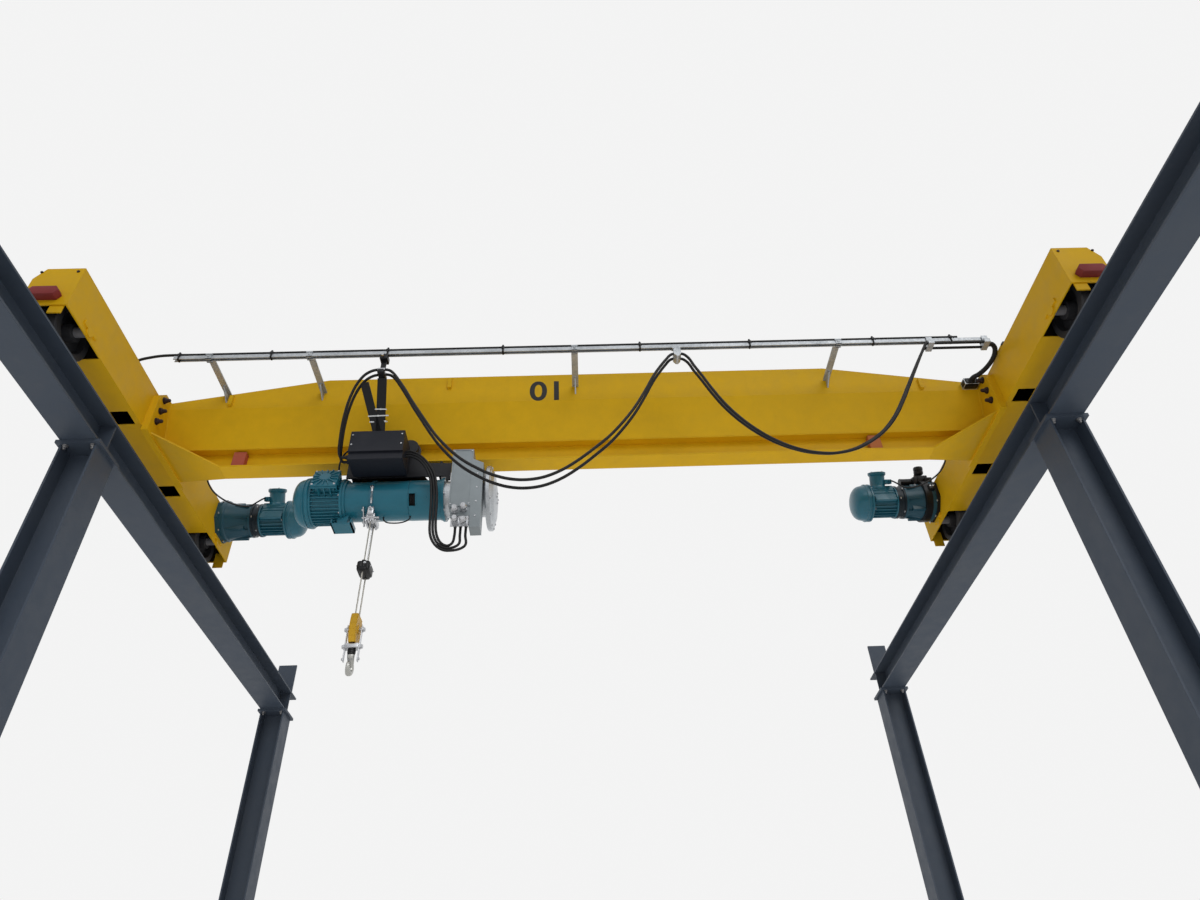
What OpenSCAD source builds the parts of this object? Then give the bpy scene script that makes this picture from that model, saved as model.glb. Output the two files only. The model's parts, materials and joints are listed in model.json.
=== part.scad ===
// Overhead bridge crane on its own steel runway: one girder, two end carriages, a rope hoist
// on a trolley under the girder, and a cable trolley line beside it.
// Millimetres. X runs along the girder, Y along the runway, Z up, the floor is at zero.

/* [Runway] */
// Distance between the centres of the two crane rails
rail_gauge = 5450; // [4800:50:7000]
// Distance between neighbouring columns along the runway
bay_length = 3600; // [3300:100:5000]
// Number of bays along the runway
bay_count = 2; // [2:1:4]
// Height from the floor to the underside of the runway beams
column_height = 4700; // [4200:50:7000]
// Depth and width of the H section of columns and beams
section_size = 200; // [170:10:240]
// Flange thickness of the H section
section_flange = 12; // [8:1:18]
// Web thickness of the H section
section_web = 8; // [6:1:14]
// How far a runway beam runs on past its last column
beam_overhang = 150; // [130:10:400]
// Width of the square crane rail bar
rail_width = 50; // [40:1:54]
// Height of the crane rail bar
rail_height = 40; // [30:1:60]
// Side of a square base plate
base_size = 350; // [320:10:450]
// Thickness of base and cap plates
base_thick = 20; // [12:1:30]
// Distance between the anchor holes of a base plate
anchor_spacing = 280; // [260:5:300]
// Diameter of an anchor hole
anchor_hole = 24; // [18:1:32]
// Height of a runway end stop above the rail
stop_height = 240; // [210:10:320]

/* [Carriages] */
// Distance between the two wheels of an end carriage
wheel_base = 2000; // [1800:50:2400]
// How far an end carriage runs on past the middle of each wheel
carriage_end = 225; // [195:5:400]
// Width of the end carriage box
carriage_width = 250; // [230:5:290]
// Height of the end carriage box
carriage_height = 290; // [260:5:340]
// Thickness of the carriage plates
carriage_plate = 8; // [6:1:12]
// Height of the carriage's underside above the rail
carriage_rise = 100; // [90:1:110]
// Diameter of the wheel where it runs on the rail
wheel_tread = 270; // [250:5:290]
// Height of the wheel flanges
wheel_lip = 20; // [15:1:22]
// Diameter of the fixed wheel axles
axle_d = 55; // [40:1:70]
// Length of a hand hole in the carriage bottom
hand_hole_length = 114; // [80:1:140]
// Width of a hand hole in the carriage bottom
hand_hole_width = 105; // [70:1:120]
// How far a buffer stands out of the carriage end
buffer_depth = 60; // [40:1:90]
// Where the crane stands along the runway at rest
bridge_y = 450; // [0:10:600]

/* [Girder] */
// Width of the girder's top box
girder_width = 300; // [260:5:340]
// Height of the girder from track underside to top
girder_height = 620; // [560:10:680]
// Height of the upright part of the top box
girder_upright = 225; // [180:5:250]
// Height of the inclined part of the side plates
girder_incline = 260; // [200:5:280]
// Thickness of the girder plates
girder_plate = 6; // [5:1:10]
// Width of the track flange that the trolley runs on
track_width = 120; // [110:1:130]
// Thickness of the track web
track_web = 9; // [7:1:14]
// How far the girder hangs below the carriage underside
girder_drop = 145; // [130:1:160]
// Length of the sloping stretch at each end of the top
girder_taper = 960; // [600:10:1200]
// How much the top comes down over that stretch
girder_fall = 170; // [100:5:200]

/* [Hoist] */
// Diameter of the hoist drum casing
drum_d = 240; // [200:5:260]
// Length of the hoist drum casing
drum_length = 590; // [500:10:640]
// Distance of the drum axis below the track flange
drum_drop = 252; // [240:1:300]
// Diameter of the gear case's round end cover
cover_d = 390; // [340:5:400]
// Where the trolley stands along the girder at rest
trolley_x = -1100; // [-1200:10:0]
// Diameter of the hoist motor over its fins
hoist_motor_d = 276; // [240:2:320]
// Diameter of a travel motor over its fins
travel_motor_d = 220; // [180:2:250]
// Diameter of a travel gear case at the carriage
gearbox_d = 300; // [260:5:310]
// Diameter of the wire rope
rope_d = 8; // [6:1:12]
// Distance between the two rope falls
rope_spacing = 76; // [60:1:90]
// Height of the hook block's top below the carriage underside
block_drop = 1150; // [1100:10:2000]

/* [Cable line] */
// Distance of the cable rail from the girder's middle
line_offset = 490; // [440:5:560]
// Width and height of the cable rail
line_size = 36; // [30:1:45]
// Diameter of a hanging cable
cable_d = 17; // [12:1:22]
// Distance between the two hanging cables
cable_pitch = 42; // [32:1:50]
// Diameter of the smaller cables that feed the motors
lead_d = 11; // [8:1:14]

/* [Hidden] */
$fn = 48;

running_gap = 0.3;                       // between a wheel and what it rolls on
slip = 0.05;                             // round a fixed axle or pin
side_gap = 5;                            // between a moving piece and its neighbour
half_gauge = rail_gauge / 2;
runway_length = bay_count * bay_length + 2 * beam_overhang;
carriage_length = wheel_base + 2 * carriage_end;
beam_top = column_height + section_size;
rail_top = beam_top + rail_height;
bridge_z = rail_top + carriage_rise;     // underside of the end carriages
inner_face = half_gauge - carriage_width / 2;   // inner side of a carriage
wheel_r = wheel_tread / 2;
wheel_z = wheel_r + running_gap - carriage_rise;  // wheel centre above the carriage underside
wheel_width = 90;
stop_depth = 100;
pad_thick = 20;                          // thickness of each bolted end plate
track_z = -girder_drop;                  // underside of the track flange
girder_top = girder_height - girder_drop;
upright_z = girder_top - girder_upright;
incline_z = upright_z - girder_incline;
girder_end = inner_face - 2 * pad_thick; // where the girder's own plates stop
end_plate_half = 290;
end_plate_foot = -32;
end_plate_top = carriage_height + 15;
track_root = 18;                         // flange thickness at the web
track_edge = 10;                         // flange thickness at its edge
slope_run = 370;                         // length of the sloping plate under each girder end
track_end = girder_end - slope_run;
slope_rise = girder_drop - pad_thick;
slope_skin = 10 / cos(atan2(slope_rise, slope_run));   // upright thickness of that sloping plate
drum_z = track_z - drum_drop;
track_stop_x = [100 - track_end, track_end - 350];
line_z = 345;                            // middle of the cable rail
line_from = 130 - girder_end;
line_to = girder_end - 30;
hook_x = trolley_x - 125;
lug_x = [370 - girder_end, -825, girder_end - 360];   // small lugs on the girder's near side
hoist_colour = [0.14, 0.42, 0.47];
gear_colour = [0.08, 0.28, 0.33];
crane_yellow = [0.87, 0.62, 0.06];
steel_blue = [0.22, 0.26, 0.31];
cable_black = [0.05, 0.05, 0.05];

// Places children in the crane's own frame: its middle, at the underside of the carriages
module on_bridge() translate([0, bridge_y, bridge_z]) children();

// Places children on the drum axis, at the middle of the drum casing, with Z turned along X
module on_drum(x) on_bridge() translate([trolley_x + x, 0, drum_z]) rotate([0, 90, 0]) children();

// Copies children to both sides of the crane, mirrored
module both_sides() {
    children();
    mirror([1, 0, 0]) children();
}

// Box with its lowest corner at a and its highest at b
module block(a, b) translate(a) cube(b - a);

// Points of an arc with radius r round c, from angle a to angle b
function arc(c, r, a, b, n) = [for (i = [0:n]) let (t = a + (b - a) * i / n) c + r * [cos(t), sin(t)]];

// H section across X and Y: flanges face X, web along X
module h_section() {
    for (s = [-1, 1]) translate([s * (section_size - section_flange) / 2, 0])
        square([section_flange, section_size], center = true);
    square([section_size - section_flange, section_web], center = true);
}

// Flat plate with four holes for anchors
module anchor_plate() {
    difference() {
        translate([0, 0, base_thick / 2]) cube([base_size, base_size, base_thick], center = true);
        for (x = [-1, 1], y = [-1, 1]) translate([x, y] * anchor_spacing / 2)
            translate([0, 0, -1]) cylinder(d = anchor_hole, h = base_thick + 2);
    }
}

function column_y(i) = (i - bay_count / 2) * bay_length;

module column() {
    rib_height = 120;
    rib_thick = 10;
    anchor_plate();
    translate([0, 0, base_thick]) linear_extrude(column_height - 2 * base_thick) h_section();
    translate([0, 0, column_height - base_thick / 2])
        cube([section_size + 40, section_size + 40, base_thick], center = true);
    // one foot rib on each side of the web
    for (s = [-1, 1]) translate([-rib_thick / 2, 0, base_thick]) rotate([90, 0, 90])
        linear_extrude(rib_thick)
            polygon([[s * section_web / 2, 0], [s * (base_size / 2 - 10), 0],
                     [s * (base_size / 2 - 10), 20], [s * section_web / 2, rib_height]]);
}

module columns(side) {
    color(steel_blue) for (i = [0:bay_count])
        translate([side * half_gauge, column_y(i), 0]) column();
}

module runway_beam(side) {
    rib = (section_size - section_web) / 2 - 6;
    color(steel_blue) translate([side * half_gauge, 0, column_height + section_size / 2]) {
        rotate([90, 90, 0]) linear_extrude(runway_length, center = true) h_section();
        for (i = [0:bay_count], s = [-1, 1])
            translate([s * (section_web + rib) / 2, column_y(i), 0])
                cube([rib, 10, section_size - 2 * section_flange], center = true);
    }
}

rail_end = runway_length / 2 - stop_depth - 20;

module crane_rails() {
    edge = 5;
    w = rail_width / 2;
    color(steel_blue) for (s = [-1, 1]) translate([s * half_gauge, 0, beam_top]) rotate([90, 0, 0])
        linear_extrude(2 * rail_end, center = true)
            polygon([[-w, 0], [w, 0], [w, rail_height - edge], [w - edge, rail_height],
                     [edge - w, rail_height], [-w, rail_height - edge]]);
}

module runway_stops() {
    plate = 16;
    face_half = 80;
    high = rail_height + stop_height;
    color(steel_blue) for (x = [-1, 1], y = [0, 1])
        translate([x * half_gauge, 0, beam_top]) mirror([0, y, 0]) {
            near = runway_length / 2 - stop_depth;
            block([-face_half, near, 0], [face_half, near + plate, high]);
            block([-face_half, near + plate, 0], [face_half, runway_length / 2, plate]);
            translate([-plate / 2, near + plate, plate]) rotate([90, 0, 90]) linear_extrude(plate)
                polygon([[0, 0], [stop_depth - plate, 0], [stop_depth - plate, 15], [0, high - plate - 20]]);
        }
}

// Double-flanged crane wheel with a dished web, turning about X
module crane_wheel() {
    hub_r = 50;
    hub_half = wheel_width / 2;
    groove = rail_width / 2 + 5;
    rim = 24;
    web = 14;
    lip_r = wheel_r + wheel_lip;
    color([0.1, 0.1, 0.11]) rotate([0, 90, 0]) rotate_extrude($fn = 96)
        polygon([[axle_d / 2 + slip, -hub_half - 10], [hub_r, -hub_half - 10], [hub_r + 4, -web / 2],
                 [wheel_r - rim, -web / 2], [wheel_r - rim + 4, -hub_half], [lip_r - 4, -hub_half],
                 [lip_r, -hub_half + 4], [lip_r - 2, -groove - 3], [wheel_r, -groove],
                 [wheel_r, groove], [lip_r - 2, groove + 3], [lip_r, hub_half - 4],
                 [lip_r - 4, hub_half], [wheel_r - rim + 4, hub_half], [wheel_r - rim, web / 2],
                 [hub_r + 4, web / 2], [hub_r, hub_half + 10], [axle_d / 2 + slip, hub_half + 10]]);
}

module wheel(x, y)
    on_bridge() translate([x * half_gauge, y * wheel_base / 2, wheel_z]) crane_wheel();

pocket_near = wheel_base / 2 - wheel_r - wheel_lip - 8;   // bottom plate stops short of the wheel

// Section of the carriage box, drawn in by d, with its outer top corner cut off
module carriage_section(d) {
    cut_x = 50;
    cut_z = 80;
    w = carriage_width;
    h = carriage_height;
    polygon([[d, d], [w - d, d], [w - d, h - cut_z - d * 0.4], [w - cut_x - d * 0.5, h - d], [d, h - d]]);
}

// End carriage on the right, lying along Y
module carriage() {
    t = carriage_plate;
    half = carriage_length / 2;
    w = carriage_width;
    hole_y = 359;
    hole_x = 31;
    color(crane_yellow) on_bridge() translate([inner_face, 0, 0]) {
        difference() {
            rotate([90, 0, 0]) linear_extrude(carriage_length, center = true) carriage_section(0);
            rotate([90, 0, 0]) linear_extrude(carriage_length - 2 * t, center = true) carriage_section(t);
            for (s = [-1, 1]) {
                // wheel pocket in the bottom
                translate([w / 2, s * (pocket_near + half - t) / 2, 0])
                    cube([w - 2 * t, half - t - pocket_near, 2 * t + 2], center = true);
                translate([hole_x, s * hole_y - hand_hole_length / 2, -1])
                    cube([hand_hole_width, hand_hole_length, t + 2]);
                translate([-1, s * wheel_base / 2, wheel_z]) rotate([0, 90, 0])
                    cylinder(d = axle_d + 2 * slip, h = w + 2);
            }
        }
        // diaphragms that close the box beside each wheel
        for (s = [-1, 1]) translate([0, s * (pocket_near - 2 * t), 0]) rotate([90, 0, 0])
            linear_extrude(t, center = true) carriage_section(t - 0.5);
        // pad that the girder end is bolted to
        translate([-pad_thick, 0, 0]) end_plate();
    }
}

// Bolted plate between girder and carriage, standing across X from zero
module end_plate() {
    corner = 60;
    w = end_plate_half;
    rotate([90, 0, 90]) linear_extrude(pad_thick)
        polygon([[-w, end_plate_foot], [w, end_plate_foot], [w, end_plate_top - corner],
                 [w - corner, end_plate_top], [corner - w, end_plate_top], [-w, end_plate_top - corner]]);
}

module buffers() {
    w = 80;
    h = 85;
    cut = 22;
    mid_z = 60;
    color([0.55, 0.09, 0.08]) on_bridge() for (x = [-1, 1], y = [-1, 1])
        translate([x * half_gauge, y * (carriage_length + buffer_depth) / 2, mid_z]) rotate([90, 0, 0])
            linear_extrude(buffer_depth, center = true)
                polygon([[cut - w, -h / 2], [w - cut, -h / 2], [w, 0], [w - cut, h / 2],
                         [cut - w, h / 2], [-w, 0]]);
}

// Tabs that hang in front of the wheels and clear the rail
module rail_guards() {
    wide = 70;
    tall = 120;
    thick = 8;
    hang = 50;
    reach = 12;
    color(crane_yellow) on_bridge() for (x = [-1, 1], y = [-1, 1])
        translate([x * (half_gauge - rail_width / 2 - reach - wide / 2),
                   y * (carriage_length / 2 - carriage_plate - thick / 2), tall / 2 - hang])
            cube([wide, thick, tall], center = true);
}

// Fixed axles with a locking plate on each side of the carriage
module wheel_axles() {
    keeper = [8, 130, 26];
    keeper_z = 16;
    long = carriage_width + 2 * keeper[0];
    color([0.5, 0.5, 0.52]) on_bridge() for (x = [-1, 1], y = [-1, 1])
        translate([x * half_gauge, y * wheel_base / 2, wheel_z]) {
            rotate([0, 90, 0]) cylinder(d = axle_d, h = long, center = true);
            for (s = [-1, 1]) translate([s * (carriage_width + keeper[0]) / 2, 0, keeper_z])
                cube(keeper, center = true);
        }
}

// Outline of the girder's closed box in Y and Z, drawn in by d
module box_outline(d) {
    w = girder_width / 2 - d;
    n = track_width / 2 - d;
    polygon([[-w, girder_top - d], [w, girder_top - d], [w, upright_z], [n, incline_z + d],
             [-n, incline_z + d], [-w, upright_z]]);
}

// Side view of the girder box in X and Z, with its top lowered by d
module box_profile(d) {
    flat = girder_end - girder_taper;
    polygon([[-girder_end, incline_z - 1], [girder_end, incline_z - 1],
             [girder_end, girder_top - girder_fall - d], [flat, girder_top - d],
             [-flat, girder_top - d], [-girder_end, girder_top - girder_fall - d]]);
}

module girder_solid(d) {
    intersection() {
        rotate([90, 0, 90]) linear_extrude(2 * girder_end, center = true) box_outline(d);
        rotate([90, 0, 0]) linear_extrude(girder_width + 10, center = true) box_profile(d);
    }
}

// Height of the girder's top at x
function top_at(x) = girder_top - max(0, abs(x) - girder_end + girder_taper) * girder_fall / girder_taper;

module girder_box() {
    lug = [24, 20, 80];
    under_top = 22;
    color(crane_yellow) on_bridge() {
        difference() {
            girder_solid(0);
            girder_solid(girder_plate);
        }
        for (x = lug_x) translate([x - lug[0] / 2, 1 - girder_width / 2 - lug[1], top_at(x) - under_top - lug[2]])
            cube(lug);
    }
}

// Rolled I section's web and lower flange, with the flange's tapered inner faces
module girder_track() {
    w = track_width / 2;
    web = track_web / 2;
    foot = track_z;
    color(crane_yellow) on_bridge() difference() {
        rotate([90, 0, 90]) linear_extrude(2 * girder_end, center = true)
            polygon([[-w, foot], [w, foot], [w, foot + track_edge], [web, foot + track_root], [web, incline_z],
                     [-web, incline_z], [-web, foot + track_root], [-w, foot + track_edge]]);
        both_sides() rotate([90, 0, 0]) linear_extrude(track_width + 10, center = true)
            polygon([[track_end, foot - 1], [2 * girder_end, foot - 1],
                     [2 * girder_end, foot + slope_skin + (2 * girder_end - track_end) * slope_rise / slope_run],
                     [track_end, foot + slope_skin]]);
    }
}

// Bolted end plate and the sloping plate under the girder's cut-back end
module girder_ends() {
    flare = 240;
    foot = track_z;
    color(crane_yellow) on_bridge() both_sides() {
        translate([girder_end, 0, 0]) end_plate();
        intersection() {
            rotate([90, 0, 0]) linear_extrude(3 * flare, center = true)
                polygon([[track_end, foot], [girder_end, foot + slope_rise],
                         [girder_end, foot + slope_rise + slope_skin], [track_end, foot + slope_skin]]);
            translate([0, 0, foot - 1]) linear_extrude(incline_z - foot + 1)
                polygon([[track_end, -track_width / 2], [girder_end, -flare], [girder_end, flare],
                         [track_end, track_width / 2]]);
        }
    }
}

// Rubber stops for the trolley, one on each side of the web near each end of the track
module track_stops() {
    size = [75, 42, 105];
    color([0.6, 0.12, 0.1]) on_bridge() for (x = track_stop_x, s = [-1, 1])
        translate([x, s * (track_web + size[1]) / 2, track_z + track_root + running_gap + size[2] / 2])
            cube(size, center = true);
}

gear_out = 190;                          // how far a travel gearbox stands in from the carriage
drive_z = 205;                           // travel drive axis above the carriage underside
drive_y = wheel_base / 2;

// Places children on the left travel drive's axis at the carriage, with Z pointing at the girder's middle
module on_drive() on_bridge() translate([-inner_face, drive_y, drive_z]) rotate([0, 90, 0]) children();

// Stepped gear case that narrows from the carriage to the motor
module gear_case() {
    big = gearbox_d / 2;
    small = travel_motor_d / 2;
    rotate_extrude() polygon([[0, 0], [big - 14, 0], [big - 14, 12], [big, 18], [big, 46], [big - 8, 54],
                              [small + 2, gear_out - 16], [small + 2, gear_out], [0, gear_out]]);
    // two feet under the case
    for (s = [-1, 1]) translate([small - 30, s * 62 - 14, 60]) cube([38, 28, gear_out - 60]);
}

module travel_gearbox() {
    color(gear_colour) on_drive() gear_case();
}

// The right-hand drive's clamp band, with its lever and the brake coil beside it
module clamp_band() {
    r = travel_motor_d / 2 + 22;
    wide = 34;
    lever = 74;
    coil_d = 52;
    lean = 24;
    color(gear_colour) on_drive() {
        translate([0, 0, gear_out - 62]) {
            cylinder(r = r, h = wide);
            rotate(-90 - lean) translate([0, -lever / 4, 0]) cube([r + lever, lever / 2, wide]);
        }
        translate([-travel_motor_d / 2 - coil_d / 2, -40, gear_out - 28]) cylinder(d = coil_d, h = 96);
    }
}

// Finned motor along Z from zero: adapter ring, body, two cover rings and a domed fan cover
module finned_motor(d, ring, neck, body, cover) {
    fins = 28;
    fin = 5;
    core = d / 2 - 13;
    bell = 12;
    groove = 4;
    dome = ring - 14;
    cylinder(d = d + 4, h = neck);
    translate([0, 0, neck]) linear_extrude(body) union() {
        circle(r = core);
        for (i = [0:fins - 1]) rotate(i * 360 / fins) translate([core - 1, -fin / 2])
            square([d / 2 - core + 1, fin]);
    }
    for (z = [0, body - bell]) translate([0, 0, neck + z]) cylinder(d = d + 6, h = bell);
    translate([0, 0, neck + body]) rotate_extrude()
        polygon(concat([[0, 0], [ring, 0], [ring, bell], [ring - groove, bell], [ring - groove, 2 * bell],
                        [dome, 2 * bell]],
                       [for (p = arc([0, 0], 1, 0, 90, 8)) [p[0] * dome, 2 * bell + (cover - 2 * bell) * p[1]]]));
}

drive_neck = 50;                         // adapter ring between gear case and travel motor
drive_body = 200;
drive_cover = 170;
stub_r = 58;                             // round terminal box on a travel motor
stub_at = gear_out + drive_neck + 88;
stub_top = travel_motor_d / 2 + 92;
stub_lean = 30;                          // its lean towards the cable line
stub_gland = 22;
stub_gland_r = travel_motor_d / 2 + 40;

module travel_motor() {
    lid = 14;
    foot_r = 74;
    color(hoist_colour) on_drive() {
        translate([0, 0, gear_out])
            finned_motor(travel_motor_d, travel_motor_d / 2 + 30, drive_neck, drive_body, drive_cover);
        translate([0, 0, stub_at]) rotate(stub_lean) translate([-stub_gland_r, -stub_r - stub_gland, 0])
            rotate([-90, 0, 0]) cylinder(r = 10, h = stub_gland + 5);
        translate([0, 0, stub_at]) rotate(stub_lean) rotate([0, -90, 0]) rotate_extrude()
            polygon([[0, travel_motor_d / 2 - 30], [foot_r, travel_motor_d / 2 - 30],
                     [foot_r, travel_motor_d / 2 - 8], [stub_r, travel_motor_d / 2 + 16],
                     [stub_r, stub_top - lid], [stub_r + 5, stub_top - lid], [stub_r + 5, stub_top - 3],
                     [stub_r, stub_top], [0, stub_top]]);
    }
}

// Lipped channel that the cable carriers roll in, open underneath
module cable_rail() {
    h = line_size / 2;
    color([0.66, 0.68, 0.7]) on_bridge() translate([line_from, -line_offset, line_z]) rotate([90, 0, 90])
        linear_extrude(line_to - line_from) difference() {
            square(2 * h, center = true);
            square(2 * (h - rail_wall), center = true);
            translate([0, -h]) square([2 * (h - rail_wall - rail_lip), 3 * rail_wall], center = true);
        }
}

line_top = line_z + line_size / 2;
arm_thick = 8;
arm_x = [-2220, -1620, -20, 1600];
clamp_z = line_z - 34;                   // cables in the clamps under the rail
inlet_x = girder_end - 55;               // flat box where the cables enter the girder
inlet_y = -girder_width / 2 - 56;
inlet_z = upright_z + 27;
clamp_x = [2160, line_to - 25];            // clamps that hold the hanging cables under the rail

// Flat arms that carry the cable rail out from the girder's side
module cable_arms() {
    wide = 40;
    foot = 300;
    web_reach = 90;
    girder_side = girder_width / 2;
    reach = line_offset + line_size / 2 + 4;
    color([0.66, 0.68, 0.7]) on_bridge() for (x = arm_x) {
        block([x - wide / 2, -reach, line_top], [x + wide / 2, -girder_side, line_top + arm_thick]);
        translate([x - arm_thick / 2, 0, 0]) rotate([90, 0, 90]) linear_extrude(arm_thick)
            polygon([[-girder_side, foot], [-girder_side, line_top + 1],
                     [-girder_side - web_reach, line_top + 1], [-girder_side - web_reach, line_top - 10]]);
    }
    color([0.12, 0.12, 0.13]) on_bridge() cable_clamps();
}

// Saddle clamps under the rail and the flat inlet box on the girder's end plate
module cable_clamps() {
    wide = 36;
    cheek = 5;
    side = line_size / 2;
    deep = cable_d + 12;
    long = cable_pitch + cable_d + 16;
    under = line_z - side;
    for (x = clamp_x) {
        difference() {
            block([x - wide / 2, -line_offset - long / 2, under - deep],
                  [x + wide / 2, -line_offset + long / 2, under]);
            for (y = [near_line, far_line]) translate([x, y, clamp_z]) rotate([0, 90, 0])
                cylinder(d = cable_d + 0.6, h = 2 * wide, center = true);
        }
        for (s = [-1, 1]) translate([x - wide / 2, -line_offset + s * (side + cheek / 2) - cheek / 2, under])
            cube([wide, cheek, line_size + 3]);
    }
    block([inlet_x - 45, inlet_y, inlet_z - 25], [inlet_x + 45, -girder_width / 2, inlet_z + 25]);
}

// Tube swept along points, which never run along axis. d is its diameter, or one for each point
module cable(points, d, sides = 8, axis = [0, 1, 0]) {
    last = len(points) - 1;
    function way(i) = points[min(i + 1, last)] - points[max(i - 1, 0)];
    function side(i) = let (v = cross(way(i), axis)) v / norm(v);
    function across(i) = let (v = cross(side(i), way(i))) v / norm(v);
    rings = [for (i = [0:last], j = [0:sides - 1]) let (a = 360 * j / sides)
        points[i] + (is_list(d) ? d[i] : d) / 2 * (cos(a) * side(i) + sin(a) * across(i))];
    walls = [for (i = [0:last - 1], j = [0:sides - 1], half = [0, 1])
        let (k = (j + 1) % sides, a = i * sides, b = a + sides)
            half == 0 ? [a + j, a + k, b + k] : [a + j, b + k, b + j]];
    start = [for (j = [sides - 1:-1:0]) j];
    finish = [for (j = [0:sides - 1]) last * sides + j];
    polyhedron(rings, concat(walls, [start, finish]));
}

// Routes in the crane's frame, in X and Z, on the line of the cable rail
rail_route = [[-2665, 290], [-2665, 315], [-2648, 342], [-2605, 362], [-2500, 382], [-2300, 382],
              [0, 382], [2250, 382], [2350, 382]];
loop_route = [[-1165, 196], [-1140, 196], [-1116, 188], [-1092, 164], [-1064, 122], [-1010, 28],
              [-956, -74], [-902, -168], [-851, -256], [-803, -334], [-754, -400], [-700, -464],
              [-640, -522], [-570, -574], [-490, -622], [-400, -657], [-305, -670], [-205, -656],
              [-105, -610], [-10, -540], [80, -458], [164, -374], [245, -270], [318, -158],
              [383, -35], [445, 93], [495, 176], [532, 230], [554, 259], [572, 270], [600, 270],
              [628, 270], [646, 259], [668, 228], [690, 172], [728, 90], [775, -18], [840, -146],
              [920, -262], [1016, -365], [1117, -441], [1224, -492], [1310, -512], [1400, -516],
              [1511, -491], [1615, -436], [1705, -366], [1790, -268], [1866, -150], [1953, 5],
              [2036, 152], [2084, 236], [2108, 276], [2124, 301], [2139, 311], [2160, 311], [2330, 311], [2505, 311]];
// Routes in the crane's frame, in X, Y and Z
box_route = [[-1165.3, -490, 196], [-1190, -490, 196], [-1224, -488, 188], [-1262, -480, 166],
             [-1298, -464, 124], [-1330, -438, 66], [-1358, -402, -8], [-1380, -356, -96],
             [-1394, -306, -178], [-1402, -262, -232], [-1400, -232, -250], [-1388, -222, -250],
             [-1370, -222, -250]];
hose_route = [[2523.3, -490, 311], [2546, -490, 311], [2568, -470, 300], [2577, -430, 286],
              [2572, -380, 276], [2556, -322, 272], [2532, -268, 274], [2505, -234, 277], [2505, -206.3, 277]];
drive_route = [[-2440, 150, 285], [-2440, 180, 285], [-2440, 214, 268], [-2441, 240, 220], [-2442, 260, 150],
               [-2444, 290, 92], [-2447, 345, 64], [-2448, 430, 60], [-2442, 515, 74], [-2418, 612, 96],
               [-2374, 706, 128], [-2328, 768, 168], [-2298, 798, 222], [-2279, 822, 264], [-2272, 841.6, 286.7],
               [-2272, 855.4, 294.7]];
near_line = -line_offset - cable_pitch / 2;
far_line = -line_offset + cable_pitch / 2;
carrier_x = 600;                         // the loose carrier between the two loops

// Hump from a to b that is level for 45 mm at each end
function hump(x, a, b) = let (t = max(0, min(1, (x - a - 45) / (b - a - 90)))) 4 * t * (1 - t);

// How much higher the near cable hangs than the middle of the pair, in one loop and then the other
function spread(x) = x < carrier_x ? 12 * hump(x, loop_route[0][0], carrier_x)
                                   : -16 * hump(x, carrier_x, clamp_x[0]);

// Cable that lies along the top of the rail, clipped all the way
module rail_cable() {
    color(cable_black) on_bridge() cable([for (p = rail_route) [p[0], -line_offset, p[1]]], cable_d);
}

// Hanging cable, s is 1 for the near one and -1 for the far one
module festoon_cable(s) {
    color(cable_black) on_bridge()
        cable([for (p = loop_route) [p[0], -line_offset - s * cable_pitch / 2, p[1] + s * spread(p[0])]],
              cable_d);
}

module box_cable(y) {
    color(cable_black) on_bridge() cable([for (p = box_route) [p[0], p[1] + y, p[2]]], cable_d);
}

// Lead from the girder to a travel motor on each side, and the hose from the end clamp to the inlet
module drive_cables() {
    color(cable_black) on_bridge() {
        both_sides() cable(drive_route, lead_d, axis = [1, 0, 0]);
        cable(hose_route, 30, axis = [0, 0, 1]);
    }
}

// Points of lead i from the switch box to its gland, in the trolley's frame
function lead_route(i) = let (g = gland_x + i * gland_step, a = -190 - 18 * i) [
    [box_right, -210, a], [box_right + 28, -210, a], [150, -208, a - 28], [203 - 4 * i, -205, a - 86],
    [246 - 10 * i, -200, a - 160], [268 - 15 * i, -195, -455], [277 - 16 * i, -190, -560],
    [280 - 16 * i, -185, -670], [290 - 16 * i, -180, -760 - 6 * i], [316 - 10 * i, -175, -816 - 12 * i],
    [352 + 2 * i, -170, -836 - 16 * i], [g - 8 + 4 * i, -166, -816 - 12 * i], [g, -162, -762], [g, -160, -720],
    [g, -160, gland_foot]];
motor_route = [[-330, -131.1, -265.7], [-330, -144, -252.8], [-326, -160, -236], [-316, -176, -212],
               [-302, -187, -184], [-284, -190, -162], [-268, -190, -150.5], [-245.3, -190, -150]];
loop_under = [[-62, -8, -517.5], [-60, -8, -534], [-44, -8, -552], [-14, -8, -560], [36, -8, -560],
              [70, -8, -550], [90, -8, -534], [94, -8, -517.5]];

// Leads from the switch box to the control panel and the hoist motor, and a small loop under the drum
module panel_cables() {
    color(cable_black) on_bridge() translate([trolley_x, 0, 0]) {
        for (i = [0:2]) cable(lead_route(i), lead_d);
        cable(motor_route, lead_d);
        cable(loop_under, 8);
    }
}

trolley_wheel_x = [-240, 60];
trolley_wheel_z = track_z + 70;
frame_inner = track_width / 2 + 25;
frame_plate = 10;
trolley_axle = 25;
wheel_out = track_width / 2 + side_gap + 9;   // outer face of a trolley wheel

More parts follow.
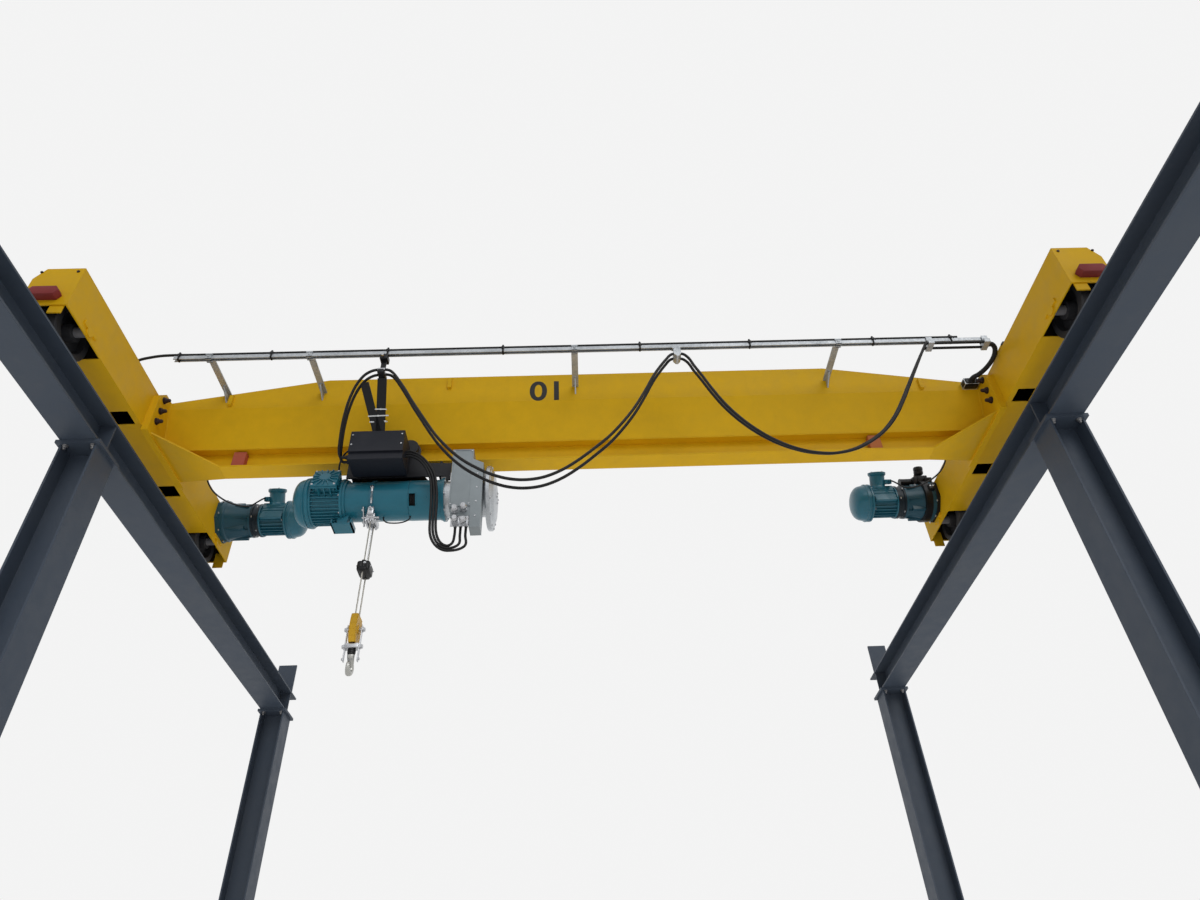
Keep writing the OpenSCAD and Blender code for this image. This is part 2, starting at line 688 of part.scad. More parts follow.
// Two side plates with saddles on the drum casing, wheel caps and blocks that carry the switch box
module trolley_frame() {
    half = drum_length / 2;
    foot = drum_z + drum_d / 2 - 12;
    tail = half + 28;
    cap_d = 112;
    face = frame_inner + frame_plate;
    color([0.09, 0.09, 0.1]) on_bridge() translate([trolley_x, 0, 0]) {
        for (s = [-1, 1]) translate([0, s * (frame_inner + frame_plate / 2), 0]) rotate([90, 0, 0])
            linear_extrude(frame_plate, center = true)
                polygon([[-half, track_z - 20], [-half + 30, trolley_wheel_z + 45], [96, trolley_wheel_z + 45],
                         [122, track_z + 5], [160, track_z - 42], [tail, track_z - 48], [tail, foot - 30],
                         [half + 2, foot - 30], [half + 2, foot], [-half, foot]]);
        for (x = trolley_wheel_x, s = [-1, 1]) translate([x, s * (face + 10), trolley_wheel_z]) rotate([90, 0, 0])
            cylinder(d = cap_d, h = 20, center = true);
        for (x = [box_left + 30, box_right - 60])
            block([x, box_back, -250], [x + 30, -face + 1, -160]);
        for (x = [-half + 30, half - 42]) difference() {
            block([x, -frame_inner - 1, foot], [x + 12, frame_inner + 1, track_z - 25]);
            translate([0, 0, drum_z]) rotate([0, 90, 0])
                cylinder(d = drum_d + 2 * running_gap, h = 3 * drum_length, center = true);
        }
        for (x = trolley_wheel_x, s = [-1, 1])
            translate([x, s * (frame_inner + 1), trolley_wheel_z]) rotate([s * 90, 0, 0])
                cylinder(d = trolley_axle, h = frame_inner + 1 - wheel_out);
    }
}

// Wheels with a tapered tread that suits the flange, and one lip outside it
module trolley_wheels() {
    from = 20;
    slope = (track_root - track_edge) / (track_width - track_web) * 2;
    function tread(y) = trolley_wheel_z - track_z - track_root + (y - track_web / 2) * slope - running_gap;
    lip_y = track_width / 2 + side_gap;
    lip = 64;
    color([0.12, 0.12, 0.13]) on_bridge() for (x = trolley_wheel_x, s = [-1, 1])
        translate([trolley_x + x, 0, trolley_wheel_z]) rotate([-s * 90, 0, 0]) rotate_extrude()
            polygon([[0, from], [tread(from), from], [tread(lip_y - 4), lip_y - 4], [lip, lip_y],
                     [lip, wheel_out], [0, wheel_out]]);
}

// Solid casing with end rings and a window
module drum_casing() {
    ring = 8;
    ring_wide = 16;
    half = drum_length / 2;
    window = [45, 30, 60];
    window_angle = 34;
    color(hoist_colour) on_drum(0) difference() {
        union() {
            cylinder(d = drum_d, h = drum_length, center = true);
            for (s = [-1, 1]) translate([0, 0, s * (half - ring_wide / 2)])
                cylinder(d = drum_d + 2 * ring, h = ring_wide, center = true);
        }
        rotate(window_angle) translate([0, -drum_d / 2, 118]) cube(window, center = true);
    }
}

// Motor with its terminal box, turned 45 degrees to the front, and a saddle-shaped foot
module hoist_motor() {
    ring = hoist_motor_d / 2 + 16;
    body = 190;
    cover = 112;
    case = [74, 104, 150];
    case_top = hoist_motor_d / 2 + 47;
    foot_half = 62;
    foot_drop = 219;
    foot_rise = 130;
    color(hoist_colour) {
        on_drum(-drum_length / 2) mirror([0, 0, 1]) {
            finned_motor(hoist_motor_d, ring, 0, body, cover);
            rotate(45) translate([-case_top, -case[1] / 2, 14]) cube(case);
        }
        on_drum(-drum_length / 2) difference() {
            translate([foot_rise, -foot_half, -72]) cube([foot_drop - foot_rise, 2 * foot_half, 150]);
            translate([0, 0, -1]) cylinder(d = drum_d + 24, h = 200);
            translate([foot_rise + 22, -foot_half + 14, -80]) cube([14, 2 * foot_half - 28, 60]);
        }
    }
}

// Gear case neck and the wide, shallow end cover
module hoist_gearbox() {
    neck = 110;
    cover = cover_d / 2;
    color([0.62, 0.64, 0.66]) on_drum(drum_length / 2) rotate_extrude($fn = 96)
        polygon([[0, 0], [neck, 0], [neck, 240], [cover - 6, 246], [cover, 252], [cover, 272], [cover - 8, 276],
                 [cover - 26, 278], [cover - 60, 292], [cover - 120, 300], [0, 303]]);
}

gland_x = 388;                           // first gland, in the trolley's frame
gland_step = 30;
gland_foot = -700;

// Sheet steel control box in front of the gear case, its ribbed half and the gland plate with three glands
module hoist_panel() {
    from = 346;
    split = 468;
    to = 530;
    front = -200;
    back = -112;
    left_top = -176;
    left_foot = -590;
    right_top = -281;
    slope_top = -250;
    right_foot = -735;
    plate_z = -655;
    rim = 8;
    color([0.5, 0.52, 0.53]) on_bridge() translate([trolley_x, 0, 0]) {
        difference() {
            block([from, front, left_foot], [split, back, left_top]);
            block([from + rim, front - 1, left_foot + rim], [split - rim, front + 3, left_top - rim]);
        }
        translate([0, back, 0]) rotate([90, 0, 0]) linear_extrude(back - front)
            polygon([[split, right_foot], [to, right_foot], [to, right_top], [split, slope_top]]);
        block([from + 12, front + 6, plate_z], [split, back - 6, left_foot]);
        for (i = [0:2]) translate([gland_x + i * gland_step, -160, gland_foot]) {
            cylinder(d = 21, h = plate_z - gland_foot + 1, $fn = 6);
            cylinder(d = 15, h = 8);
        }
    }
}

box_left = -245;
box_right = 70;
box_front = -300;
box_back = -120;
box_top = -100;
box_foot = -300;

// Black switch box on the front of the trolley, with a stepped front and two glands
module switch_box() {
    step_z = -252;
    gland = 25;
    color([0.06, 0.06, 0.07]) on_bridge() translate([trolley_x, 0, 0]) {
        difference() {
            block([box_left, box_front, box_foot], [box_right, box_back, box_top]);
            block([box_left - 1, box_front - 1, box_foot - 1], [box_right + 1, box_front + 14, step_z]);
        }
        for (s = [-1, 1]) translate([box_left - gland, -222 + s * cable_pitch / 2, -250]) rotate([0, 90, 0])
            cylinder(d = cable_d + 9, h = gland + 1);
    }
}

// Flat bar in a plane from a to b
module bar(a, b, w) {
    v = (b - a) / norm(b - a);
    n = [-v[1], v[0]] * w / 2;
    polygon([a + n, a - n, b - n, b + n]);
}

rail_wall = 3;                           // sheet thickness of the cable rail
rail_lip = 8;                            // width of each lip beside its slot
tow_x = -65;                             // tow arm's place on the trolley
tow_drop = line_z - 196;                 // cables in the tow carrier below the rail's middle
loose_drop = line_z - 270;

// Carrier at zero on the rail's middle: four rollers on the lips, a stem and a clamp for two cables
module carrier(drop) {
    inside = line_size / 2 - rail_wall;
    roller_r = 11;
    roller_w = rail_lip;
    stem_half = 3;
    rise = -inside + running_gap + roller_r;
    clamp_half = 22;
    body_half = 14;
    long = cable_pitch + cable_d + 14;
    top = 42 - drop;
    bottom = -drop - 30;
    for (x = [-18, 18]) translate([x, 0, rise]) rotate([90, 0, 0]) {
        for (s = [-1, 1]) translate([0, 0, s * (inside - 1 - roller_w / 2)])
            cylinder(r = roller_r, h = roller_w, center = true);
        cylinder(r = 4, h = 2 * inside - 4, center = true);
    }
    block([-18 - 6, -stem_half, rise - 6], [18 + 6, stem_half, rise + 6]);
    block([-10, -stem_half, top - 1], [10, stem_half, rise]);
    block([-body_half, -body_half, top - 1], [body_half, body_half, -line_size / 2 - side_gap]);
    difference() {
        rotate([90, 0, 0]) linear_extrude(long, center = true)
            polygon([[-clamp_half, top - 14], [-clamp_half, bottom + 20], [-clamp_half + 16, bottom],
                     [clamp_half - 16, bottom], [clamp_half, bottom + 20], [clamp_half, top - 14],
                     [clamp_half - 6, top], [6 - clamp_half, top]]);
        for (s = [-1, 1]) translate([0, s * cable_pitch / 2, -drop]) rotate([0, 90, 0])
            cylinder(d = cable_d + 2 * running_gap, h = 3 * clamp_half, center = true);
    }
}

// Forked arm from the switch box, with the first cable carrier on its right prong
module tow_arm() {
    t = 8;
    stem = -25;
    low = [box_front + 28, box_top + 3];
    high = [-line_offset, line_z - tow_drop - 34];
    lean = atan2(high[1] - low[1], high[0] - low[0]);
    long = norm(high - low);
    color([0.07, 0.07, 0.08]) on_bridge() translate([trolley_x + tow_x, 0, 0]) {
        translate([0, -line_offset, line_z]) carrier(tow_drop);
        block([stem - 34, low[0] - 16, box_top], [stem + 34, low[0] + 22, box_top + 6]);
        translate([0, low[0], low[1]]) rotate([lean, 0, 0]) translate([0, 0, -t / 2]) linear_extrude(t) {
            bar([stem, 0], [stem, long * 0.5], 46);
            bar([stem - 2, long * 0.42], [0, long + 12], 34);
            bar([stem + 4, long * 0.42], [-112, long - 22], 34);
        }
    }
}

module cable_carrier() {
    color([0.6, 0.62, 0.64]) on_bridge() translate([carrier_x, -line_offset, line_z]) carrier(loose_drop);
}

guide_z = drum_z - drum_d / 2 - 45;
weight_z = -865;
rope_half = rope_spacing / 2;
sheave_z = -block_drop - 90;

// Rope guide under the drum casing, with a strap round the drum's front and a lever on its left
module rope_guide() {
    strap = 12;
    wide = 46;
    half = 30;
    lever = 8;
    bore = drum_d + 2 * running_gap;
    color([0.7, 0.71, 0.72]) on_bridge() translate([hook_x, 0, 0]) difference() {
        union() {
            block([-half, -rope_half - 25, guide_z], [half, rope_half + 25, drum_z - drum_d / 2 + 22]);
            intersection() {
                translate([0, 0, drum_z]) rotate([0, 90, 0])
                    cylinder(d = bore + 2 * strap, h = wide, center = true);
                block([-wide, -drum_d, drum_z - drum_d], [wide, 0, drum_z + 70]);
            }
            translate([-half - lever, 0, 0]) rotate([90, 0, 90]) linear_extrude(lever + 2)
                bar([-rope_half - 62, drum_z - 62], [-18, guide_z - 58], 36);
        }
        translate([0, 0, drum_z]) rotate([0, 90, 0]) cylinder(d = bore, h = 200, center = true);
        for (s = [-1, 1]) translate([0, s * rope_half, guide_z - 1]) cylinder(d = rope_d + 6, h = 20);
    }
}

// Weight that the block lifts to stop the hoist, round both ropes, on a thin wire from the guide
module limit_weight() {
    half = 45;
    tall = 70;
    edge = 20;
    wire = 4;
    deep = rope_spacing + 44;
    color([0.06, 0.06, 0.06]) on_bridge() translate([hook_x, 0, 0]) {
        difference() {
            translate([0, 0, weight_z]) rotate([90, 0, 0]) linear_extrude(deep, center = true)
                polygon([[-half, edge - tall / 2], [edge - half, -tall / 2], [half - edge, -tall / 2],
                         [half, edge - tall / 2], [half, tall / 2 - edge], [half - edge, tall / 2],
                         [edge - half, tall / 2], [-half, tall / 2 - edge]]);
            for (s = [-1, 1]) translate([0, s * rope_half, weight_z])
                cylinder(d = rope_d + 2 * running_gap, h = 2 * tall, center = true);
        }
        translate([0, 0, weight_z]) cylinder(d = wire, h = guide_z - running_gap - weight_z);
    }
}

module hoist_ropes() {
    color([0.55, 0.55, 0.53]) on_bridge() translate([hook_x, 0, 0]) for (s = [-1, 1])
        translate([0, s * rope_half, sheave_z]) cylinder(d = rope_d, h = guide_z + 19 - sheave_z);
}

block_half = 37;
pin_d = 28;
shank_d = 30;

// Rounded shell round the sheave, side straps, pin and the crosshead that the hook turns in
module hook_block() {
    wall = 5;
    cheek = 7;
    strap = 6;
    r = 74;
    half = block_half - strap;
    tip = 55;
    head_top = -80;
    head_foot = -120;
    strap_half = 19;
    color([0.85, 0.62, 0.08]) on_bridge() translate([hook_x, 0, sheave_z]) {
        difference() {
            rotate([0, 90, 0]) cylinder(r = r, h = 2 * half, center = true);
            rotate([0, 90, 0]) cylinder(r = r - wall, h = 2 * (half - cheek), center = true);
            // slot for the two falls, and room for the hook's nut
            block([cheek - half, -rope_half - 12, 20], [half - cheek, rope_half + 12, 2 * r]);
            block([cheek - half, -30, -2 * r], [half - cheek, 30, -r / 2]);
        }
        for (s = [-1, 1]) translate([s * (block_half - strap / 2 - 0.5), 0, 0])
            cube_between([strap + 1, 2 * strap_half], head_foot + 4, 30);
        rotate([0, 90, 0]) cylinder(d = pin_d, h = 2 * tip, center = true);
        difference() {
            union() {
                block([-half, -26, head_foot], [half, 26, head_top]);
                translate([0, 0, (head_top + head_foot) / 2]) rotate([0, 90, 0])
                    cylinder(d = 24, h = 2 * tip, center = true);
            }
            translate([0, 0, head_foot - 1]) cylinder(d = shank_d + 2 * slip, h = head_top - head_foot + 2);
        }
    }
}

// Upright bar with the plan size given, from z = a to z = b
module cube_between(size, a, b) translate([-size[0] / 2, -size[1] / 2, a]) cube([size[0], size[1], b - a]);

module hook_sheave() {
    groove = rope_half - rope_d / 2 - running_gap;
    color([0.12, 0.12, 0.12]) on_bridge() translate([hook_x, 0, sheave_z]) rotate([0, 90, 0]) rotate_extrude()
        polygon([[pin_d / 2 + slip, -22], [24, -22], [24, -12], [groove + 12, -12], [groove, -3],
                 [groove, 3], [groove + 12, 12], [24, 12], [24, 22], [pin_d / 2 + slip, 22]]);
}

// Point hook in the plane of Y and Z, its nut on the crosshead and a safety latch across its mouth
module hook() {
    top = sheave_z - 80;
    r = 32;
    bend = sheave_z - 195;
    nut_d = 44;
    nut = 14;
    neck = [[0, 75, 28], [0, 62, 27], [-4, 50, 25], [-13, 40, 24]];
    bowl = [for (i = [0:13]) let (a = 130 + i * 20)
            [r * cos(a), r * sin(a), 27 - abs(i - 6) * (i < 6 ? 0.4 : 2.3)]];
    way = concat(neck, bowl);
    color([0.5, 0.5, 0.5]) on_bridge() translate([hook_x, 0, 0]) rotate([0, 0, -90]) {
        translate([0, 0, bend + 70]) cylinder(d = shank_d, h = top + nut - bend - 68);
        translate([0, 0, top + running_gap]) cylinder(d = nut_d, h = nut, $fn = 6);
        cable([for (p = way) [p[0], 0, bend + p[1]]], [for (p = way) p[2]], 12);
        translate([0, 7, bend]) rotate([90, 0, 0]) linear_extrude(14) bar([2, 46], [21, 24], 3);
    }
}

columns(-1);  // columns_left
columns(1);  // columns_right
runway_beam(-1);  // runway_beam_left
runway_beam(1);  // runway_beam_right
crane_rails();
runway_stops();
mirror([1, 0, 0]) carriage();  // carriage_left
carriage();  // carriage_right
buffers();
rail_guards();
wheel_axles();
wheel(-1, -1);  // wheel_front_left
wheel(1, -1);  // wheel_front_right
wheel(-1, 1);  // wheel_rear_left
wheel(1, 1);  // wheel_rear_right
girder_box();
girder_track();
girder_ends();
track_stops();
travel_gearbox();  // travel_gearbox_left
mirror([1, 0, 0]) {  // travel_gearbox_right
    travel_gearbox();
    clamp_band();
}
travel_motor();  // travel_motor_left
mirror([1, 0, 0]) travel_motor();  // travel_motor_right
cable_rail();
cable_arms();
rail_cable();
trolley_frame();
trolley_wheels();
drum_casing();
hoist_motor();
hoist_gearbox();
hoist_panel();
switch_box();
tow_arm();
rope_guide();
limit_weight();
hoist_ropes();
hook_block();
hook_sheave();
hook();
cable_carrier();
festoon_cable(1);  // festoon_cable_near
festoon_cable(-1);  // festoon_cable_far
box_cable(-cable_pitch / 2);  // box_cable_near
box_cable(cable_pitch / 2);  // box_cable_far
panel_cables();
drive_cables();
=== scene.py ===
import json
import math
import bmesh
import bpy
from mathutils import Matrix, Vector
from mathutils.geometry import interpolate_bezier


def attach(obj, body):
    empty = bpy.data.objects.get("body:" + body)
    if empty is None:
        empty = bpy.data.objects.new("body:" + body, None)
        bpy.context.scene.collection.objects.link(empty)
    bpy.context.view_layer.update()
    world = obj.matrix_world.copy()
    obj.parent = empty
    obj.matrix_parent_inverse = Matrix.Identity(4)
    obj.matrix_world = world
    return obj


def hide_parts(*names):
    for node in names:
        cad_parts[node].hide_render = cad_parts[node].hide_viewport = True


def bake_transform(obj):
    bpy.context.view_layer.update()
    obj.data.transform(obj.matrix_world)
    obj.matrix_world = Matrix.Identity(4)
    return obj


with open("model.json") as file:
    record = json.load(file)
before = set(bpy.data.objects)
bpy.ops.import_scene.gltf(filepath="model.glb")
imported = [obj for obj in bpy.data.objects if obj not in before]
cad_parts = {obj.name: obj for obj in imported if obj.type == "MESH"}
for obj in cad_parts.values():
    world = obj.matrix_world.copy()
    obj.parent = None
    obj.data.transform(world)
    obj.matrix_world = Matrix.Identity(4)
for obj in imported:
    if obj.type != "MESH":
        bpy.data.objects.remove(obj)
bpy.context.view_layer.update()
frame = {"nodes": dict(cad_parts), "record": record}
nodes = frame["nodes"]
print("frame loaded:", len(nodes), "solids")

# the crane's own frame: under the girder's middle, level with the underside of the end carriages
craneOrigin = Vector((0, 0.45, 5.04))
left, right, up = Vector((-1, 0, 0)), Vector((1, 0, 0)), Vector((0, 0, 1))
near, far, down = Vector((0, -1, 0)), Vector((0, 1, 0)), Vector((0, 0, -1))


def at(x, y, z):
    return craneOrigin + Vector((x, y, z))


def newObject(name, data):
    made = bpy.data.objects.new(name, data)
    bpy.context.scene.collection.objects.link(made)
    return made


# camera of the photo, worked out from the runway and the girder
camera = {"place": (-0.019, -3.661, 1.59), "pitch": 39.63, "yaw": 1.98, "roll": -2.8, "lens": 25.63}


def makeCamera(c):
    pitch, yaw, roll = (math.radians(c[k]) for k in ("pitch", "yaw", "roll"))
    ahead = Vector((math.sin(yaw) * math.cos(pitch), math.cos(yaw) * math.cos(pitch), math.sin(pitch)))
    side = Vector((math.cos(yaw), -math.sin(yaw), 0))
    top = side.cross(ahead)
    sideRolled = side * math.cos(roll) + top * math.sin(roll)
    topRolled = top * math.cos(roll) - side * math.sin(roll)
    data = bpy.data.cameras.new("photoCamera")
    data.lens = c["lens"]
    data.sensor_width = 36
    data.clip_end = 100
    made = newObject("photoCamera", data)
    turn = Matrix((sideRolled, topRolled, -ahead)).transposed().to_4x4()
    made.matrix_world = Matrix.Translation(c["place"]) @ turn
    bpy.context.scene.camera = made


makeCamera(camera)
bpy.context.scene.view_settings.view_transform = "Standard"
print("camera ready")


# shader effects that the finishes share
colourSocket, valueSocket, normalSocket = "NodeSocketColor", "NodeSocketFloat", "NodeSocketVector"


def tone(*rgb):
    return tuple(c / 12.92 if c <= 0.04045 else ((c + 0.055) / 1.055) ** 2.4 for c in (v / 255 for v in rgb)) + (1,)


def newGroup(name, inputs, outputs):
    group = bpy.data.node_groups.new(name, "ShaderNodeTree")
    for title, kind, start in inputs:
        socket = group.interface.new_socket(title, in_out="INPUT", socket_type=kind)
        socket.default_value = start
    for title, kind in outputs:
        group.interface.new_socket(title, in_out="OUTPUT", socket_type=kind)
    return group, group.nodes.new("NodeGroupInput"), group.nodes.new("NodeGroupOutput")


def add(tree, kind, values=None, **settings):
    # a node with its settings; values are linked where they are another node's output
    node = tree.nodes.new(kind)
    for key, value in settings.items():
        setattr(node, key, value)
    for key, value in (values or {}).items():
        if hasattr(value, "is_output"):
            tree.links.new(value, node.inputs[key])
        else:
            node.inputs[key].default_value = value
    return node


def rangeMask(tree, value, low, high, outLow=0.0, outHigh=1.0):
    return add(tree, "ShaderNodeMapRange", {"Value": value, "From Min": low, "From Max": high,
                                            "To Min": outLow, "To Max": outHigh}, clamp=True).outputs["Result"]


def maths(tree, operation, a, b):
    return add(tree, "ShaderNodeMath", {0: a, 1: b}, operation=operation).outputs[0]


def mixColour(tree, factor, a, b):
    return add(tree, "ShaderNodeMix", {0: factor, 6: a, 7: b}, data_type="RGBA").outputs[2]


def times(tree, a, b):
    return maths(tree, "MULTIPLY", a, b)


def plus(tree, a, b):
    return maths(tree, "ADD", a, b)


def noise(tree, place, scale, detail, **more):
    return add(tree, "ShaderNodeTexNoise", {"Vector": place, "Scale": scale, "Detail": detail, **more}).outputs[0]


def makeCoat():
    group, inside, out = newGroup("coatSkin", [
        ("Paint", colourSocket, (0.5, 0.5, 0.5, 1)), ("Dust", colourSocket, (0.3, 0.28, 0.25, 1)),
        ("Dust amount", valueSocket, 0.3), ("Chip", colourSocket, (0.1, 0.08, 0.07, 1)),
        ("Chip amount", valueSocket, 0.2), ("Streaks", valueSocket, 0.2), ("Grain size", valueSocket, 300.0),
        ("Grain depth", valueSocket, 0.0002), ("Rough", valueSocket, 0.45), ("Edge", valueSocket, 0.003),
        ("Mask", valueSocket, 0.0), ("Masked", colourSocket, (0.02, 0.02, 0.02, 1))],
        [("Colour", colourSocket), ("Roughness", valueSocket), ("Normal", normalSocket)])
    given = inside.outputs
    place = add(group, "ShaderNodeTexCoord").outputs["Object"]
    facing = add(group, "ShaderNodeNewGeometry").outputs["Normal"]
    patches = noise(group, place, 1.7, 7, Roughness=0.62)
    middle = noise(group, place, 11, 5, Roughness=0.6)
    fine = noise(group, place, given["Grain size"], 3)
    long = add(group, "ShaderNodeMapping", {"Vector": place, "Scale": (14, 14, 0.9)}).outputs[0]
    runs = noise(group, long, 1.0, 4, Roughness=0.7)
    # dust: soft patches, more of it on faces that look up, and runs down the sides
    height = add(group, "ShaderNodeSeparateXYZ", {0: facing}).outputs["Z"]
    lying = times(group, rangeMask(group, height, 0.2, 0.95), 0.7)
    dusty = times(group, plus(group, rangeMask(group, patches, 0.42, 0.78), lying), given["Dust amount"])
    streaky = times(group, rangeMask(group, runs, 0.55, 0.8), given["Streaks"])
    dirt = maths(group, "MINIMUM", plus(group, dusty, streaky), 1.0)
    # chips where an edge is found by rounding it
    rounded = add(group, "ShaderNodeBevel", {"Radius": given["Edge"]}, samples=4).outputs[0]
    same = add(group, "ShaderNodeVectorMath", {0: rounded, 1: facing}, operation="DOT_PRODUCT").outputs["Value"]
    broken = times(group, rangeMask(group, same, 0.995, 0.86), rangeMask(group, middle, 0.5, 0.66))
    chips = times(group, broken, given["Chip amount"])
    shade = rangeMask(group, middle, 0.2, 0.8, 0.93, 1.06)
    base = mixColour(group, given["Mask"], given["Paint"], given["Masked"])
    paint = add(group, "ShaderNodeHueSaturation", {"Value": shade, "Color": base}).outputs[0]
    soiled = mixColour(group, dirt, paint, given["Dust"])
    worn = plus(group, given["Rough"], rangeMask(group, middle, 0.3, 0.7, -0.07, 0.09))
    bump = add(group, "ShaderNodeBump", {"Strength": 1.0, "Distance": given["Grain depth"], "Height": fine,
                                         "Normal": rounded})
    group.links.new(mixColour(group, chips, soiled, given["Chip"]), out.inputs["Colour"])
    group.links.new(plus(group, worn, times(group, dirt, 0.25)), out.inputs["Roughness"])
    group.links.new(bump.outputs[0], out.inputs["Normal"])
    return group


def makeSpangle():
    group, inside, out = newGroup("zincSkin", [
        ("Light", colourSocket, (0.6, 0.6, 0.6, 1)), ("Dark", colourSocket, (0.4, 0.4, 0.4, 1)),
        ("Flake size", valueSocket, 70.0), ("Rough", valueSocket, 0.4)],
        [("Colour", colourSocket), ("Roughness", valueSocket), ("Normal", normalSocket)])
    given = inside.outputs
    place = add(group, "ShaderNodeTexCoord").outputs["Object"]
    flakes = add(group, "ShaderNodeTexVoronoi", {"Vector": place, "Scale": given["Flake size"]})
    grey = add(group, "ShaderNodeSeparateColor", {0: flakes.outputs["Color"]}).outputs[0]
    cloud = noise(group, place, 5, 5)
    mask = times(group, plus(group, grey, rangeMask(group, cloud, 0.35, 0.65)), 0.5)
    rounded = add(group, "ShaderNodeBevel", {"Radius": 0.002}, samples=4).outputs[0]
    bump = add(group, "ShaderNodeBump", {"Distance": 0.0001, "Height": grey, "Normal": rounded})
    group.links.new(mixColour(group, mask, given["Light"], given["Dark"]), out.inputs["Colour"])
    group.links.new(plus(group, given["Rough"], times(group, mask, 0.15)), out.inputs["Roughness"])
    group.links.new(bump.outputs[0], out.inputs["Normal"])
    return group


def makeTwist():
    group, inside, out = newGroup("ropeTwist", [
        ("Strands", valueSocket, 6.0), ("Turns", valueSocket, 30.0), ("Depth", valueSocket, 0.001)],
        [("Mask", valueSocket), ("Normal", normalSocket)])
    given = inside.outputs
    sides = add(group, "ShaderNodeSeparateXYZ", {0: add(group, "ShaderNodeTexCoord").outputs["UV"]}).outputs
    spiral = plus(group, times(group, sides["X"], given["Turns"]), times(group, sides["Y"], given["Strands"]))
    mask = times(group, maths(group, "PINGPONG", spiral, 0.5), 2.0)
    bump = add(group, "ShaderNodeBump", {"Distance": given["Depth"], "Height": mask})
    group.links.new(mask, out.inputs["Mask"])
    group.links.new(bump.outputs[0], out.inputs["Normal"])
    return group


coatSkin, zincSkin, ropeTwist = makeCoat(), makeSpangle(), makeTwist()


def newMaterial(name, values):
    made = bpy.data.materials.new(name)
    made.use_nodes = True
    shader = made.node_tree.nodes["Principled BSDF"]
    for key, value in values.items():
        shader.inputs[key].default_value = value
    return made, made.node_tree, shader.inputs


def newFinish(name, group, values, metal=0.0, coat=0.0, specular=0.28):
    finish, tree, shader = newMaterial(name, {"Metallic": metal, "Coat Weight": coat, "Coat Roughness": 0.2,
                                              "Specular IOR Level": specular})
    skin = add(tree, "ShaderNodeGroup", values, node_tree=group)
    for title, socket in (("Colour", "Base Color"), ("Roughness", "Roughness"), ("Normal", "Normal")):
        tree.links.new(skin.outputs[title], shader[socket])
    finish.diffuse_color = values.get("Paint", values.get("Light"))
    return finish


def coatFinish(name, paint, dust, dustAmount, rough, chip=(0.05, 0.04, 0.035, 1), chips=0.2, streaks=0.1,
               grain=300.0, depth=0.0001, edge=0.003, **shader):
    return newFinish(name, coatSkin, {"Paint": paint, "Dust": dust, "Dust amount": dustAmount, "Chip": chip,
                                      "Chip amount": chips, "Streaks": streaks, "Grain size": grain,
                                      "Grain depth": depth, "Rough": rough, "Edge": edge}, **shader)


finishes = {
    "steel_paint": coatFinish("runwayPaint", tone(66, 76, 90), tone(104, 106, 107), 0.16, 0.48, tone(84, 76, 70), 0.3,
                              0.12),
    "rail_steel": coatFinish("railSteel", tone(84, 78, 74), tone(102, 70, 48), 0.7, 0.5, tone(150, 148, 146), 0.6,
                             metal=0.7, grain=180.0),
    "crane_paint": coatFinish("craneYellow", tone(226, 178, 18), tone(160, 124, 40), 0.12, 0.48, tone(120, 80, 30), 0.3,
                              0.08, specular=0.18),
    "buffer_rubber": coatFinish("bufferRubber", tone(136, 50, 50), tone(92, 56, 52), 0.5, 0.6, tone(70, 22, 20), 0.5),
    "bare_steel": coatFinish("bareSteel", tone(168, 168, 170), tone(104, 92, 82), 0.3, 0.32, tone(200, 200, 200), 0.4,
                             metal=0.85, edge=0.001),
    "wheel_iron": coatFinish("wheelIron", tone(58, 59, 63), tone(84, 78, 70), 0.4, 0.5, tone(130, 126, 122), 0.6,
                             metal=0.3, grain=220.0, depth=0.0003),
    # the gear cases' teal, painted darker than the motors' teal as shade
    "gear_paint": coatFinish("gearTealShaded", tone(24, 74, 92), tone(58, 74, 78), 0.2, 0.36, tone(120, 128, 130), 0.35,
                             grain=160.0, depth=0.0003, edge=0.002, coat=0.15),
    "motor_paint": coatFinish("motorTeal", tone(32, 108, 128), tone(58, 90, 98), 0.2, 0.32, tone(140, 158, 162), 0.3,
                              grain=170.0, depth=0.0002, edge=0.002, coat=0.2),
    "galvanised": newFinish("zincPlate", zincSkin, {"Light": tone(198, 202, 206), "Dark": tone(160, 165, 170),
                                                    "Flake size": 90.0, "Rough": 0.38}, metal=0.6),
    "cable_skin": coatFinish("cableRubber", tone(20, 20, 22), tone(48, 47, 46), 0.15, 0.5, tone(40, 40, 42), 0.0,
                             streaks=0.05, grain=500.0, depth=0.00005, edge=0.001),
    "black_steel": coatFinish("blackSteel", tone(24, 25, 30), tone(56, 55, 55), 0.2, 0.44, tone(120, 118, 116), 0.4,
                              edge=0.0015),
    "cover_alloy": newFinish("coverAlloy", zincSkin, {"Light": tone(206, 210, 214), "Dark": tone(164, 169, 174),
                                                      "Flake size": 240.0, "Rough": 0.28}, metal=0.8),
    "panel_grey": coatFinish("panelGrey", tone(142, 150, 154), tone(108, 112, 114), 0.2, 0.34, tone(100, 100, 100), 0.3,
                             metal=0.35, edge=0.0015),
    "black_plastic": coatFinish("boxPlastic", tone(20, 23, 33), tone(46, 49, 58), 0.14, 0.5, tone(60, 60, 66), 0.25,
                                grain=900.0, depth=0.0002, edge=0.004),
    "block_paint": coatFinish("blockYellow", tone(222, 172, 40), tone(110, 88, 50), 0.3, 0.4, tone(70, 62, 56), 0.6,
                              edge=0.002),
    "hook_steel": coatFinish("hookForged", tone(190, 190, 186), tone(120, 112, 102), 0.18, 0.3, tone(220, 220, 218),
                             0.5, metal=0.75, grain=120.0, edge=0.0015),
}


